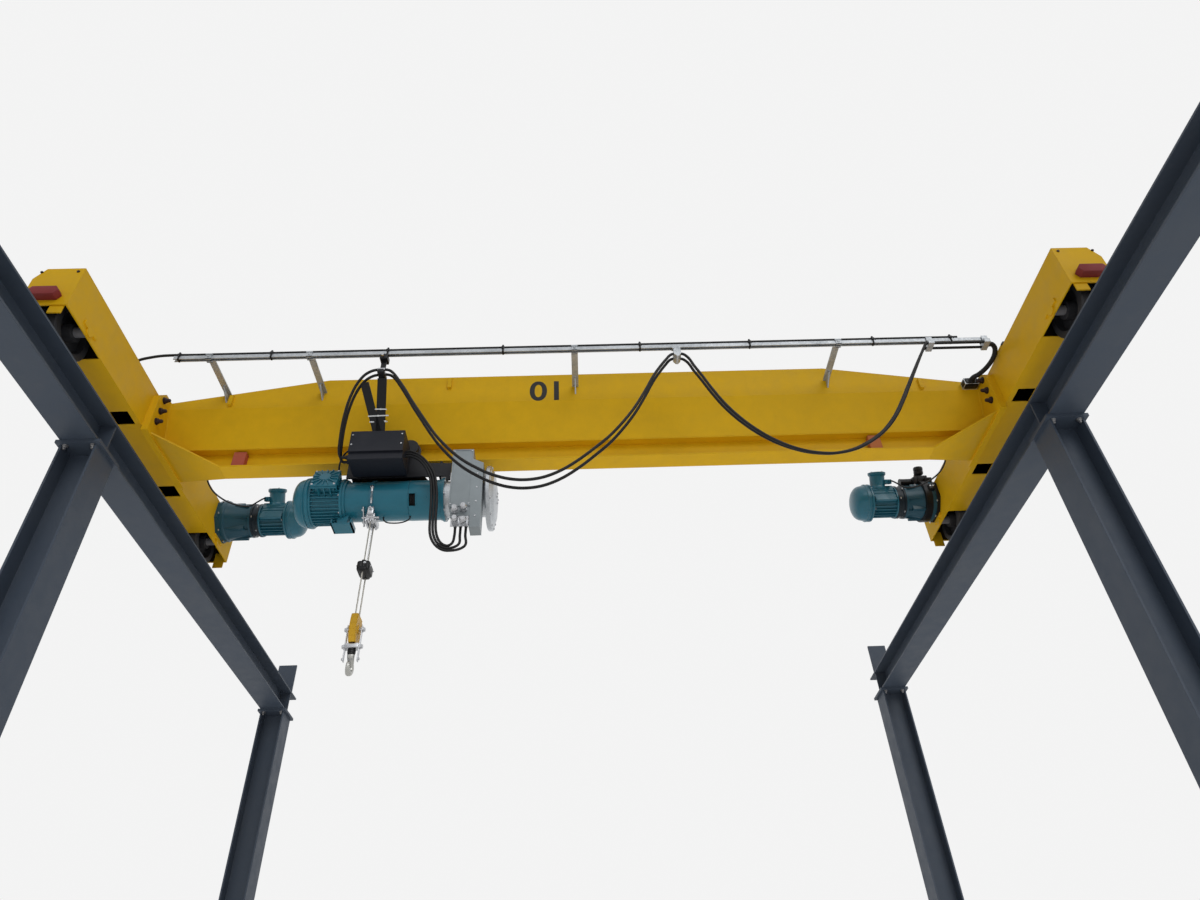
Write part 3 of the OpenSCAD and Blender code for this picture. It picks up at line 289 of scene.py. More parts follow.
def ropeFinish():
    finish, tree, shader = newMaterial("wireStrands", {"Metallic": 0.8, "Roughness": 0.42})
    skin = add(tree, "ShaderNodeGroup", {"Turns": 52.0, "Depth": 0.0012}, node_tree=ropeTwist)
    colour = mixColour(tree, skin.outputs["Mask"], tone(112, 108, 100), tone(222, 220, 212))
    tree.links.new(colour, shader["Base Color"])
    tree.links.new(skin.outputs["Normal"], shader["Normal"])
    return finish


finishes["wire_rope"] = ropeFinish()
letterBlack = coatFinish("letterBlack", tone(24, 24, 24), tone(60, 56, 50), 0.2, 0.5, chips=0.0)
tieWhite = coatFinish("tieNylon", tone(228, 230, 232), tone(170, 168, 160), 0.2, 0.4, chips=0.0, edge=0.0005)
boltPrimer = coatFinish("boltPrimer", tone(40, 26, 26), tone(70, 50, 46), 0.4, 0.45, tone(96, 90, 88), 0.4, edge=0.001)
clampBlack = coatFinish("clampBlack", tone(15, 16, 19), tone(44, 44, 46), 0.2, 0.36, tone(90, 90, 92), 0.3, edge=0.002)
# near-black painted shade, used for the rope drum seen through the casing's window
windowShadeBlack = coatFinish("windowShadeBlack", tone(16, 16, 18), tone(40, 38, 36), 0.3, 0.6, chips=0.0)
zincBright = coatFinish("brightZinc", tone(196, 198, 202), tone(120, 116, 110), 0.22, 0.24, tone(220, 220, 222), 0.4,
                        metal=0.9, edge=0.001)
tankPaint = coatFinish("drivePaint", tone(34, 104, 126), tone(52, 76, 84), 0.18, 0.3, tone(140, 152, 156), 0.4,
                       grain=170.0, depth=0.0003, edge=0.002, coat=0.3)
neckPaint = coatFinish("neckPaint", tone(20, 34, 44), tone(46, 56, 62), 0.2, 0.36, tone(90, 96, 98), 0.3, edge=0.002)
stopRubber = coatFinish("stopRubber", tone(176, 84, 66), tone(204, 146, 48), 0.9, 0.6, tone(120, 50, 40), 0.4,
                        grain=120.0)

# painted shade on the faces inside the end carriages, so that their hand holes look dark; the axles are bare between
# their walls
carriageWalls = {"inner": 2.605, "outer": 2.846, "low": 5.0445, "high": 5.3255, "middle": 0.45, "half": 1.2205,
                 "cut": (20.0, 12.5, 122.475)}
axleBare = (2.6005, 2.8495)


def between(tree, value, low, high):
    return times(tree, maths(tree, "GREATER_THAN", value, low), maths(tree, "LESS_THAN", value, high))


def maskedFinish(name, source, masked, build):
    finish = source.copy()
    finish.name = name
    tree = finish.node_tree
    skin = next(n for n in tree.nodes if n.type == "GROUP")
    place = add(tree, "ShaderNodeSeparateXYZ", {0: add(tree, "ShaderNodeTexCoord").outputs["Object"]})
    across = add(tree, "ShaderNodeMath", {0: place.outputs["X"]}, operation="ABSOLUTE").outputs[0]
    tree.links.new(build(tree, across, place.outputs["Y"], place.outputs["Z"]), skin.inputs["Mask"])
    skin.inputs["Masked"].default_value = masked
    return finish


# mask of the faces inside a carriage's walls, where the painted shade goes
def insideCarriage(tree, x, y, z, c=carriageWalls):
    walls = times(tree, between(tree, x, c["inner"], c["outer"]), between(tree, z, c["low"], c["high"]))
    # the outer top corner is cut off
    perX, perZ, most = c["cut"]
    slope = plus(tree, times(tree, x, perX), times(tree, z, perZ))
    walls = times(tree, walls, maths(tree, "LESS_THAN", slope, most))
    return times(tree, walls, between(tree, y, c["middle"] - c["half"], c["middle"] + c["half"]))


# carriage yellow with dark brown painted shade on the faces inside the carriage walls
carriageYellowShadedInside = maskedFinish("carriageYellowShadedInside", finishes["crane_paint"], tone(30, 24, 16), insideCarriage)
axlePaint = maskedFinish("axlePaint", finishes["crane_paint"], tone(118, 118, 122),
                         lambda tree, x, y, z: between(tree, x, *axleBare))
print("finishes ready:", len(bpy.data.materials))

for part in frame["record"]["subparts"]:
    for holder in nodes[part["node"]].material_slots:
        holder.material = finishes[part["material_slot"]]
for name, finish in (("carriage_left", carriageYellowShadedInside), ("carriage_right", carriageYellowShadedInside),
                     ("wheel_axles", axlePaint), ("track_stops", stopRubber)):
    for holder in nodes[name].material_slots:
        holder.material = finish


# cords: each lies on the points of its own solid

def roundedRoute(points, steps):
    last = len(points) - 1
    ways = [(points[min(i + 1, last)] - points[max(i - 1, 0)]).normalized() for i in range(last + 1)]
    made = [points[0]]
    for i in range(last):
        third = (points[i + 1] - points[i]).length / 3
        made += interpolate_bezier(points[i], points[i] + ways[i] * third, points[i + 1] - ways[i + 1] * third,
                                   points[i + 1], steps + 1)[1:]
    return made


def cordMesh(name, points, diameter):
    data = bpy.data.curves.new(name, "CURVE")
    data.dimensions = "3D"
    data.bevel_depth = diameter / 2
    data.bevel_resolution = 4
    data.use_fill_caps = True
    line = data.splines.new("POLY")
    line.points.add(len(points) - 1)
    for spot, p in zip(line.points, points):
        spot.co = (*p, 1)
    curve = newObject(name, data)
    shape = bpy.data.meshes.new_from_object(curve, depsgraph=bpy.context.evaluated_depsgraph_get())
    bpy.data.objects.remove(curve)
    bpy.data.curves.remove(data)
    for face in shape.polygons:
        face.use_smooth = True
    return newObject(name, shape)


def layCord(name, points, diameter, body, solid, slot="cable_skin", stiffness="medium", lay="hanging", bend=None,
            steps=6):
    path = roundedRoute(points, steps)
    made = cordMesh(name, path, diameter)
    made.data.materials.clear()
    made.data.materials.append(finishes[slot])
    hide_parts(solid)
    if bend:
        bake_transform(made)
    else:
        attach(made, body)


# millimetres in the crane's frame, as in the solids; the trolley stands trolleyX metres from its middle
trolleyX = -1.1
hangingCables = {
    "diameter": 17, "pitch": 42, "line": -490, "carrier": 600, "clamp": 2160, "lift": (12, -16),
    "route": [[-1165, 196], [-1140, 196], [-1116, 188], [-1092, 164], [-1064, 122], [-1010, 28],
              [-956, -74], [-902, -168], [-851, -256], [-803, -334], [-754, -400], [-700, -464],
              [-640, -522], [-570, -574], [-490, -622], [-400, -657], [-305, -670], [-205, -656],
              [-105, -610], [-10, -540], [80, -458], [164, -374], [245, -270], [318, -158],
              [383, -35], [445, 93], [495, 176], [532, 230], [554, 259], [572, 270], [600, 270],
              [628, 270], [646, 259], [668, 228], [690, 172], [728, 90], [775, -18], [840, -146],
              [920, -262], [1016, -365], [1117, -441], [1224, -492], [1310, -512], [1400, -516],
              [1511, -491], [1615, -436], [1705, -366], [1790, -268], [1866, -150], [1953, 5],
              [2036, 152], [2084, 236], [2108, 276], [2124, 301], [2139, 311], [2160, 311], [2330, 311],
              [2505, 311]]}


def hump(x, a, b, flat=45):
    # 0 to 1 and back between a and b, with a flat part at either end
    t = max(0, min(1, (x - a - flat) / (b - a - 2 * flat)))
    return 4 * t * (1 - t)


def layHangingCables(c):
    start, middle, end = c["route"][0][0], c["carrier"], c["clamp"]
    for name, side in (("near", 1), ("far", -1)):
        points = []
        for x, z in c["route"]:
            rise = c["lift"][0] * hump(x, start, middle) if x < middle else c["lift"][1] * hump(x, middle, end)
            points.append(at(x / 1000, (c["line"] - side * c["pitch"] / 2) / 1000, (z + side * rise) / 1000))
        # the cable is baked in place; the points given for the loose carrier and the tow arm are not used
        layCord("festoonCable." + name, points[::-1], c["diameter"] / 1000, "bridge", "festoon_cable_" + name,
                bend=("bridge", "trolley", at((2 * middle - start) / 1000, 0, 0), at(start / 1000, 0, 0)))


railLine = -490
railCable = {"diameter": 17,
             "route": [[x, railLine, z] for x, z in (
                 (-2665, 290), (-2665, 315), (-2648, 342), (-2605, 362), (-2500, 382), (-2300, 382), (-2000, 382),
                 (-1500, 382), (-1000, 382), (-500, 382), (0, 382), (500, 382), (1000, 382), (1500, 382),
                 (2000, 382), (2250, 382), (2350, 382))]}
boxCables = {"diameter": 17, "pitch": 42,
             "route": [[-1165.3, -490, 196], [-1190, -490, 196], [-1224, -488, 188], [-1262, -480, 166],
                       [-1298, -464, 124], [-1330, -438, 66], [-1358, -402, -8], [-1380, -356, -96],
                       [-1394, -306, -178], [-1402, -262, -232], [-1400, -232, -250], [-1388, -222, -250],
                       [-1370, -222, -250]]}
driveLeads = {"diameter": 11,
              "route": [[-2440, 150, 285], [-2440, 180, 285], [-2440, 214, 268], [-2441, 240, 220], [-2442, 260, 150],
                        [-2444, 290, 92], [-2447, 345, 64], [-2448, 430, 60], [-2442, 515, 74], [-2418, 612, 96],
                        [-2374, 706, 128], [-2328, 768, 168], [-2298, 798, 222], [-2279, 822, 264],
                        [-2272, 841.6, 286.7], [-2272, 855.4, 294.7]]}
inletHose = {"diameter": 30,
             "route": [[2523.3, -490, 311], [2546, -490, 311], [2568, -470, 300], [2577, -430, 286],
                       [2572, -380, 276], [2556, -322, 272], [2532, -268, 274], [2505, -234, 277],
                       [2505, -206.3, 277]]}
panelLeads = {"diameter": 15, "gland": 388, "step": 30, "foot": -700, "box": 70}
motorLead = {"diameter": 11, "shift": trolleyX,
             "route": [[-330, -131.1, -265.7], [-330, -144, -252.8], [-326, -160, -236], [-316, -176, -212],
                       [-302, -187, -184], [-284, -190, -162], [-268, -190, -150.5], [-245.3, -190, -150]]}
limitLead = {"diameter": 8, "shift": trolleyX,
             "route": [[-62, -8, -517.5], [-60, -8, -534], [-44, -8, -552], [-14, -8, -560], [36, -8, -560],
                       [70, -8, -550], [90, -8, -534], [94, -8, -517.5]]}


def metres(route, shift=0.0):
    return [at(x / 1000 + shift, y / 1000, z / 1000) for x, y, z in route]


def layPanelLeads(c):
    for i in range(3):
        g, a, b = c["gland"] + i * c["step"], -190 - 18 * i, c["box"]
        route = [(b, -210, a), (b + 28, -210, a), (150, -208, a - 28), (203 - 4 * i, -205, a - 86),
                 (246 - 10 * i, -200, a - 160), (268 - 15 * i, -195, -455), (277 - 16 * i, -190, -560),
                 (280 - 16 * i, -185, -670), (290 - 16 * i, -180, -760 - 6 * i), (316 - 10 * i, -175, -816 - 12 * i),
                 (352 + 2 * i, -170, -836 - 16 * i), (g - 8 + 4 * i, -166, -816 - 12 * i), (g, -162, -762),
                 (g, -160, -720), (g, -160, c["foot"])]
        layCord(f"panelLead.{i + 1}", metres(route, trolleyX), c["diameter"] / 1000, "trolley", "panel_cables")


def layRoute(name, c, body, solid, turn=1, aside=0.0, **more):
    route = metres([(turn * x, y + aside, z) for x, y, z in c["route"]], c.get("shift", 0.0))
    layCord(name, route, c["diameter"] / 1000, body, solid, **more)


layHangingCables(hangingCables)
layRoute("railCable", railCable, "bridge", "rail_cable", lay="taut")
for pitchSide, side in ((-1, "near"), (1, "far")):
    layRoute("boxCable." + side, boxCables, "trolley", "box_cable_" + side, aside=pitchSide * boxCables["pitch"] / 2,
             stiffness="stiff")
for turn, side in ((1, "left"), (-1, "right")):
    layRoute("driveLead." + side, driveLeads, "bridge", "drive_cables", turn)
layRoute("inletHose", inletHose, "bridge", "drive_cables", stiffness="stiff", lay="taut")
layPanelLeads(panelLeads)
layRoute("motorLead", motorLead, "trolley", "panel_cables", stiffness="stiff")
layRoute("limitLead", limitLead, "trolley", "panel_cables", stiffness="stiff")

# the wire rope goes down from the drum, round the sheave and up again
hoistRope = {"x": -1.225, "half": 0.038, "diameter": 0.008, "sheave": -1.24, "guide": -0.543}


def layRope(c):
    x, half, sheave, guide = c["x"], c["half"], c["sheave"], c["guide"]
    falls = [i / 14 for i in range(15)]
    route = [at(x, -half, guide + (sheave - guide) * t) for t in falls[:-1]]
    route += [at(x, -half * math.cos(a), sheave - half * math.sin(a)) for a in (math.pi * i / 16 for i in range(17))]
    route += [at(x, half, sheave + (guide - sheave) * t) for t in falls[1:]]
    layCord("hoistRope", route, c["diameter"], "trolley", "hoist_ropes", "wire_rope", stiffness="stiff", lay="taut",
            bend=("trolley", "hook_block", at(x, 0, guide - 0.06), at(x, 0, sheave + 0.05)), steps=2)


layRope(hoistRope)
print("cords laid")


# shapes that the pieces are built from

def pointing(place, axis, spin=0.0):
    turn = Vector(axis).to_track_quat("Z", "Y").to_matrix().to_4x4()
    return Matrix.Translation(place) @ turn @ Matrix.Rotation(spin, 4, "Z")


def frameOf(place, across, along):
    # X lies across, Z points along, Y is square to both
    z = Vector(along).normalized()
    x = (Vector(across) - z * Vector(across).dot(z)).normalized()
    return Matrix.Translation(place) @ Matrix((x, z.cross(x), z)).transposed().to_4x4()


def rod(bm, place, axis, radius, length, tip=None, segments=24, spin=0.0):
    bmesh.ops.create_cone(bm, cap_ends=True, segments=segments, radius1=radius,
                          radius2=radius if tip is None else tip, depth=length,
                          matrix=pointing(place, axis, spin) @ Matrix.Translation((0, 0, length / 2)))


def slab(bm, low, high, base=None):
    low, high = Vector(low), Vector(high)
    size = high - low
    box = Matrix.Translation((low + high) / 2) @ Matrix.Diagonal((*size, 1))
    return bmesh.ops.create_cube(bm, size=1, matrix=base @ box if base else box)["verts"]


def edgesOf(verts):
    # each edge once, in an order that is the same each run
    return list(dict.fromkeys(e for v in verts for e in v.link_edges))


def softSlab(bm, low, high, rounding, base=None, segments=3):
    verts = slab(bm, low, high, base)
    edges = edgesOf(verts)
    bmesh.ops.bevel(bm, geom=edges, offset=rounding, offset_type="OFFSET", affect="EDGES", segments=segments,
                    profile=0.5, material=-1, clamp_overlap=True)


def pushed(bm, faces, way):
    # extrudes the faces along the way
    grown = bmesh.ops.extrude_face_region(bm, geom=faces)
    bmesh.ops.translate(bm, vec=way, verts=[g for g in grown["geom"] if isinstance(g, bmesh.types.BMVert)])


def prism(bm, corners, way):
    pushed(bm, [bm.faces.new([bm.verts.new(p) for p in corners])], way)


def turned(bm, base, profile, steps=48, angle=2 * math.pi):
    # the profile is pairs of distance along Z and radius, turned round Z
    verts = [bm.verts.new(base @ Vector((r, 0, z))) for z, r in profile]
    edges = [bm.edges.new(pair) for pair in zip(verts, verts[1:])]
    centre = base.to_translation()
    axis = (base.to_3x3() @ Vector((0, 0, 1))).normalized()
    bmesh.ops.spin(bm, geom=verts + edges, cent=centre, axis=axis, angle=angle, steps=steps,
                   use_merge=abs(angle - 2 * math.pi) < 1e-6)


def swept(bm, points, radii, across, flat=1.0, segments=20):
    # rings along a path in one plane, bridged one after another
    last = len(points) - 1
    rings = []
    for i, (p, r) in enumerate(zip(points, radii)):
        way = points[min(i + 1, last)] - points[max(i - 1, 0)]
        base = frameOf(p, across, way) @ Matrix.Diagonal((flat, 1, 1, 1))
        made = bmesh.ops.create_circle(bm, cap_ends=i in (0, last), segments=segments, radius=r, matrix=base)["verts"]
        rings.append(edgesOf(made))
    for a, b in zip(rings, rings[1:]):
        bmesh.ops.bridge_loops(bm, edges=a + b)


def hexBolt(bm, place, axis, size, tail=0.0, washer=True):
    place, axis = Vector(place), Vector(axis).normalized()
    if washer:
        rod(bm, place, axis, size * 1.05, size * 0.16, segments=20)
        place = place + axis * size * 0.16
    rod(bm, place, axis, size * 0.92, size * 0.5, segments=6, spin=0.4)
    rod(bm, place + axis * size * 0.5, axis, size * 0.92, size * 0.14, size * 0.7, 6, 0.4)
    if tail:
        rod(bm, place, axis, size * 0.5, size * 0.6 + tail, segments=12)
        rod(bm, place + axis * (size * 0.6 + tail), axis, size * 0.5, size * 0.12, size * 0.38, 12)


def ringOf(bm, place, axis, radius, count, size, start=0.0, **bolt):
    base = pointing(place, axis)
    for i in range(count):
        a = start + i * 2 * math.pi / count
        hexBolt(bm, base @ Vector((radius * math.cos(a), radius * math.sin(a), 0)), axis, size, **bolt)


def piece(name, bm, body, slot, finish=None, bevel=0.0, angle=35, stands=()):
    bmesh.ops.remove_doubles(bm, verts=bm.verts, dist=1e-5)
    if bevel:
        sharp = [e for e in bm.edges if len(e.link_faces) == 2 and e.calc_face_angle(0) > math.radians(angle)]
        bmesh.ops.bevel(bm, geom=sharp, offset=bevel, offset_type="OFFSET", affect="EDGES", segments=2, profile=0.5,
                        material=-1, clamp_overlap=True)
    bmesh.ops.recalc_face_normals(bm, faces=bm.faces)
    shape = bpy.data.meshes.new(name)
    bm.to_mesh(shape)
    bm.free()
    for face in shape.polygons:
        face.use_smooth = True
    shape.set_sharp_from_angle(angle=math.radians(angle))
    shape.materials.append(finish or finishes[slot])
    made = newObject(name, shape)
    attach(made, body)
    if stands:
        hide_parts(*stands)


# runway
runwayBolts = {"size": 0.016, "gauge": 2.725, "columns": (-3.6, 0, 3.6), "under": 4.68, "spread": (0.075, 0.09),
               "grip": 0.032, "tail": 0.012}


def makeRunwayBolts(c):
    bm = bmesh.new()
    for x in (-c["gauge"], c["gauge"]):
        for y in c["columns"]:
            for across in (-1, 1):
                for along in (-1, 1):
                    place = Vector((x + across * c["spread"][0], y + along * c["spread"][1], c["under"]))
                    hexBolt(bm, place, down, c["size"], tail=c["tail"])
                    hexBolt(bm, place + up * c["grip"], up, c["size"])
    piece("runwayBolts", bm, "runway", "bare_steel")


railClips = {"gauge": 2.725, "from": -3.45, "to": 3.45, "count": 12, "top": 4.9, "out": 0.052,
             "half": (0.026, 0.025), "thick": 0.012, "bolt": (0.008, 0.011)}


def makeRailClips(c):
    bm = bmesh.new()
    for x in (-c["gauge"], c["gauge"]):
        for i in range(c["count"]):
            y = c["from"] + (c["to"] - c["from"]) * i / (c["count"] - 1)
            for side in (-1, 1):
                place = Vector((x + side * c["out"], y, c["top"]))
                wide, deep = c["half"]
                slab(bm, place - Vector((wide, deep, 0)), place + Vector((wide, deep, c["thick"])))
                hexBolt(bm, place + Vector((side * c["bolt"][0], 0, c["thick"])), up, c["bolt"][1])
    piece("railClips", bm, "runway", "steel_paint")


makeRunwayBolts(runwayBolts)
makeRailClips(railClips)
print("runway dressed")

# bridge
endBolts = {"x": 2.56, "y": 0.235, "heights": (0.08, 0.163, 0.25), "size": 0.021, "tail": 0.022}


def makeEndBolts(c):
    bm = bmesh.new()
    for side in (-1, 1):
        for y in (-c["y"], c["y"]):
            for z in c["heights"]:
                place, out, size = at(side * c["x"], y, z), Vector((-side, 0, 0)), c["size"]
                hexBolt(bm, place, out, size)
                rod(bm, place + out * size * 0.7, out, size * 0.66, c["tail"], size * 0.52, 14)
                rod(bm, place + out * (size * 0.7 + c["tail"]), out, size * 0.52, 0.004, size * 0.34, 14)
    piece("endBolts", bm, "bridge", "bare_steel", boltPrimer)


# beads where the girder's plates meet
welds = {"size": 0.005, "fine": 0.003, "end": 2.56, "wide": 0.15, "narrow": 0.06, "low": -0.01, "knee": 0.25,
         "high": 0.3, "web": (2.19, 0.0045, -0.127)}


def weldRun(bm, a, b, size):
    rod(bm, a, b - a, size, (b - a).length, segments=8)


def makeWelds(c):
    bm = bmesh.new()
    end, (reach, out, z) = c["end"], c["web"]
    for side in (-1, 1):
        for y in (-1, 1):
            knee = at(side * end, y * c["wide"], c["knee"])
            weldRun(bm, knee, at(side * end, y * c["wide"], c["high"]), c["size"])
            weldRun(bm, knee, at(side * end, y * c["narrow"], c["low"]), c["size"])
        weldRun(bm, at(side * reach, side * out, z), at(-side * reach, side * out, z), c["fine"])
    for y in (-c["narrow"], c["narrow"]):
        weldRun(bm, at(-end, y, c["low"]), at(end, y, c["low"]), c["size"])
    piece("girderWelds", bm, "bridge", "crane_paint")


bridgeNumber = {"text": "01", "low": 0.25, "high": 0.42, "from": -0.312, "face": -0.15, "bold": 0.02,
                "thick": 0.0006}


def makeNumber(c):
    data = bpy.data.curves.new("bridgeNumber", "FONT")
    data.body = c["text"]
    data.size = 1.0
    data.offset = c["bold"]
    letters = newObject("bridgeNumber", data)
    bpy.context.view_layer.update()
    shape = bpy.data.meshes.new_from_object(letters, depsgraph=bpy.context.evaluated_depsgraph_get())
    bpy.data.objects.remove(letters)
    lowest = Vector([min(v.co[i] for v in shape.vertices) for i in range(3)])
    highest = Vector([max(v.co[i] for v in shape.vertices) for i in range(3)])
    grow = (c["high"] - c["low"]) / (highest.y - lowest.y)
    bm = bmesh.new()
    bm.from_mesh(shape)
    bmesh.ops.transform(bm, matrix=Matrix.Translation(-lowest), verts=bm.verts)
    bmesh.ops.scale(bm, vec=(grow, grow, 1), verts=bm.verts)
    pushed(bm, bm.faces[:], (0, 0, c["thick"]))
    upright = Matrix.Translation(at(c["from"], c["face"], c["low"])) @ Matrix.Rotation(math.pi / 2, 4, "X")
    bmesh.ops.transform(bm, matrix=upright, verts=bm.verts)
    piece("bridgeNumber", bm, "bridge", "crane_paint", letterBlack)


# small bolts at the corners of the carriages' closing plates
cornerBolts = {"x": (2.63, 2.82), "y": 1.225, "z": 0.262, "size": 0.008, "top": (1.185, 0.29)}


def makeCornerBolts(c):
    bm = bmesh.new()
    for side in (-1, 1):
        for end in (-1, 1):
            for x in c["x"]:
                hexBolt(bm, at(side * x, end * c["y"], c["z"]), (0, end, 0), c["size"])
            y, z = c["top"]
            hexBolt(bm, at(side * c["x"][0], end * y, z), up, c["size"], tail=0.006)
    piece("cornerBolts", bm, "bridge", "bare_steel", boltPrimer)


# six-sided buffers on the carriages' ends
endBuffers = {"x": 2.725, "foot": 1.224, "depth": 0.046, "z": 0.066, "half": (0.08, 0.031), "cut": 0.018}


def makeEndBuffers(c):
    bm = bmesh.new()
    w, h = c["half"]
    k = c["cut"]
    outline = [(k - w, -h), (w - k, -h), (w, 0), (w - k, h), (k - w, h), (-w, 0)]
    for side in (-1, 1):
        for end in (-1, 1):
            prism(bm, [at(side * c["x"] + x, end * c["foot"], c["z"] + z) for x, z in outline],
                  (0, end * c["depth"], 0))
    piece("endBuffers", bm, "bridge", "buffer_rubber", bevel=0.003, stands=("buffers",))


makeEndBuffers(endBuffers)
makeCornerBolts(cornerBolts)
makeEndBolts(endBolts)
makeWelds(welds)
makeNumber(bridgeNumber)

# finned motors: distances along the axis from the face that each one is bolted to
travelDrive = {
    "face": 2.6, "y": 1.0, "z": 0.205,
    "case": [(0.022, 0), (0.022, 0.148), (0.046, 0.149), (0.052, 0.147), (0.058, 0.138), (0.1, 0.128), (0.172, 0.117),
             (0.196, 0.113), (0.214, 0.113), (0.218, 0.124), (0.232, 0.124), (0.232, 0.0)],
    "flange": (0.16, 0.024, 8), "caseRibs": 8,
    "neck": [(0.232, 0.0), (0.232, 0.122), (0.244, 0.122), (0.247, 0.114), (0.274, 0.114), (0.278, 0.121),
             (0.29, 0.121), (0.29, 0)],
    "bolts": ((0.024, -1, 0.153, 8, 0.008, 0.2), (0.278, 1, 0.1165, 4, 0.009, 0.35),
              (0.244, -1, 0.1175, 4, 0.009, 0.35), (0.46, -1, 0.118, 4, 0.007, 0.6)),
    "body": (0.288, 0.474), "core": 0.094, "fin": 0.112, "fins": 26, "finThick": 0.005, "bell": 0.012,
    "lips": [(0.472, 0), (0.472, 0.131), (0.476, 0.139), (0.486, 0.139), (0.489, 0.132), (0.499, 0.132), (0.502, 0.139),
             (0.513, 0.139), (0.517, 0.132), (0.526, 0.13)],
    "dome": (0.526, 0.128, 0.08),
    "stub": {"at": {-1: 0.386, 1: 0.398}, "lean": 30, "r": 0.054, "lid": 0.064, "top": 0.226, "foot": 0.07},
    "lead": ((2.272, 0.8554, 0.2947), (0, 0.866, 0.5))}


def domeProfile(start, radius, depth, power=2.5, steps=12):
    made = []
    for i in range(steps + 1):
        a = math.pi / 2 * i / steps
        made.append((start + depth * math.sin(a) ** (2 / power),
                     radius * math.cos(a) ** (2 / power) if i < steps else 0.0))
    return made


def turnedOnAxis(base, count):
    # the base turned to the middle of each of count equal sectors
    return [base @ Matrix.Rotation(2 * math.pi * (i + 0.5) / count, 4, "Z") for i in range(count)]


def finsRound(bm, base, core, top, low, high, count, thick):
    for turn in turnedOnAxis(base, count):
        slab(bm, (core - 0.004, -thick / 2, low), (top, thick / 2, high), turn)


def driveFrame(side, c):
    return frameOf(at(side * c["face"], c["y"], c["z"]), near, (-side, 0, 0))


def driveFlange(bm, side, c):
    radius, thick, sides = c["flange"]
    rod(bm, at(side * c["face"], c["y"], c["z"]), (-side, 0, 0), radius, thick, segments=sides, spin=math.pi / sides)


def makeDriveCase(side, name, c):
    bm = bmesh.new()
    base = driveFrame(side, c)
    if side < 0:
        driveFlange(bm, side, c)
    turned(bm, base, c["case"])
    for turn in turnedOnAxis(base, c["caseRibs"]):
        slab(bm, (0.1, -0.004, 0.05), (0.124, 0.004, 0.215), turn)
    # oval cover with the oil plug on the near lower side, and the case's two feet
    lower = base @ Matrix.Rotation(math.radians(35 * side), 4, "Z")
    softSlab(bm, (0.104, -0.028, 0.105), (0.13, 0.028, 0.175), 0.01, lower)
    footing = base @ Matrix.Rotation(0 if side < 0 else math.pi, 4, "Z")
    for across in (-0.062, 0.062):
        slab(bm, (across - 0.014, 0.08, 0.06), (across + 0.014, 0.118, 0.19), footing)
    piece(f"driveCase.{name}", bm, "bridge", "gear_paint", stands=(f"travel_gearbox_{name}",))
    bm = bmesh.new()
    turned(bm, base, c["neck"])
    piece(f"driveNeck.{name}", bm, "bridge", "gear_paint", neckPaint)
    bm = bmesh.new()
    for out, facing, *ring in c["bolts"]:
        ringOf(bm, base @ Vector((0, 0, out)), (facing * side, 0, 0), *ring)
    hexBolt(bm, lower @ Vector((0.13, 0, 0.14)), lower.to_3x3() @ Vector((1, 0, 0)), 0.009)
    piece(f"driveBolts.{name}", bm, "bridge", "bare_steel", zincBright)


def makeDriveMotor(side, name, c):
    bm = bmesh.new()
    base = driveFrame(side, c)
    low, high = c["body"]
    turned(bm, base, [(low, 0), (low, 0.118), (low + c["bell"], 0.118), (low + c["bell"] + 0.002, c["core"]),
                      (high - c["bell"], c["core"]), (high - c["bell"] + 0.002, 0.118), (high, 0.118), (high, 0)])
    finsRound(bm, base, c["core"], c["fin"], low + 0.006, high - 0.006, c["fins"], c["finThick"])
    turned(bm, base, c["lips"] + domeProfile(*c["dome"])[1:])
    # neck of the terminal box, leaning to the near side, with its lid and the cable entry
    s = c["stub"]
    lean = math.radians(s["lean"])
    out = Vector((0, -math.sin(lean), math.cos(lean)))
    neck = frameOf(at(side * (c["face"] - s["at"][side]), c["y"], c["z"]), right, out)
    top, r, lid, wide = s["top"], s["r"], s["lid"], s["foot"]
    turned(bm, neck, [(0.07, 0), (0.07, wide), (0.107, wide), (0.118, r + 0.004), (0.126, r), (top - 0.03, r),
                      (top - 0.022, lid - 0.003), (top - 0.019, lid), (top - 0.012, lid), (top - 0.0115, lid - 0.002),
                      (top - 0.0105, lid - 0.002), (top - 0.01, lid), (top - 0.003, lid), (top, lid - 0.004),
                      (top, 0)], 40)
    (x, y, z), way = c["lead"]
    place, way = at(side * x, y, z), Vector(way)
    entry = frameOf(place, (1, 0, 0), way)
    softSlab(bm, (-0.034 if side > 0 else -0.019, -0.017, 0.024), (0.019, 0.017, 0.075), 0.005, entry)
    rod(bm, place + way * 0.008, way, 0.013, 0.02, segments=6)
    rod(bm, place - way * 0.004, way, 0.0095, 0.014, 0.012, 16)
    # flat pad without fins on the near upper side
    plate = frameOf(base.to_translation(), (1, 0, 0), (0, -1, 0.16))
    middle = -side * (low + high) / 2
    softSlab(bm, (middle - 0.078, -0.072, c["fin"] - 0.034), (middle + 0.078, 0.072, c["fin"] - 0.005), 0.004, plate, 2)
    piece(f"driveMotor.{name}", bm, "bridge", "motor_paint", tankPaint, stands=(f"travel_motor_{name}",))
    bm = bmesh.new()
    ringOf(bm, neck @ Vector((0, 0, top)), out, lid - 0.012, 4, 0.006, 0.5)
    piece(f"lidBolts.{name}", bm, "bridge", "bare_steel", zincBright)


# the right-hand drive also has a clamp band with its lever, and the brake's coil
driveClamp = {"band": (0.052, 0.1), "r": 0.153, "lean": 24, "knob": (0.074, 0.182, 0.264, 0.034),
              "coil": (0.118, 0.216, 0.03), "coilRibs": 7,
              "holders": (((0.09, -0.03, 0.11), (0.132, 0.03, 0.165), 0.006, (0, -0.2, 1)),
                          ((0.006, -0.05, 0.118), (0.056, 0.05, 0.176), 0.008, (0, -0.6, 1)),
                          ((0.03, -0.026, 0.13), (0.07, 0.026, 0.172), 0.006, (0, -1, 0.1)))}


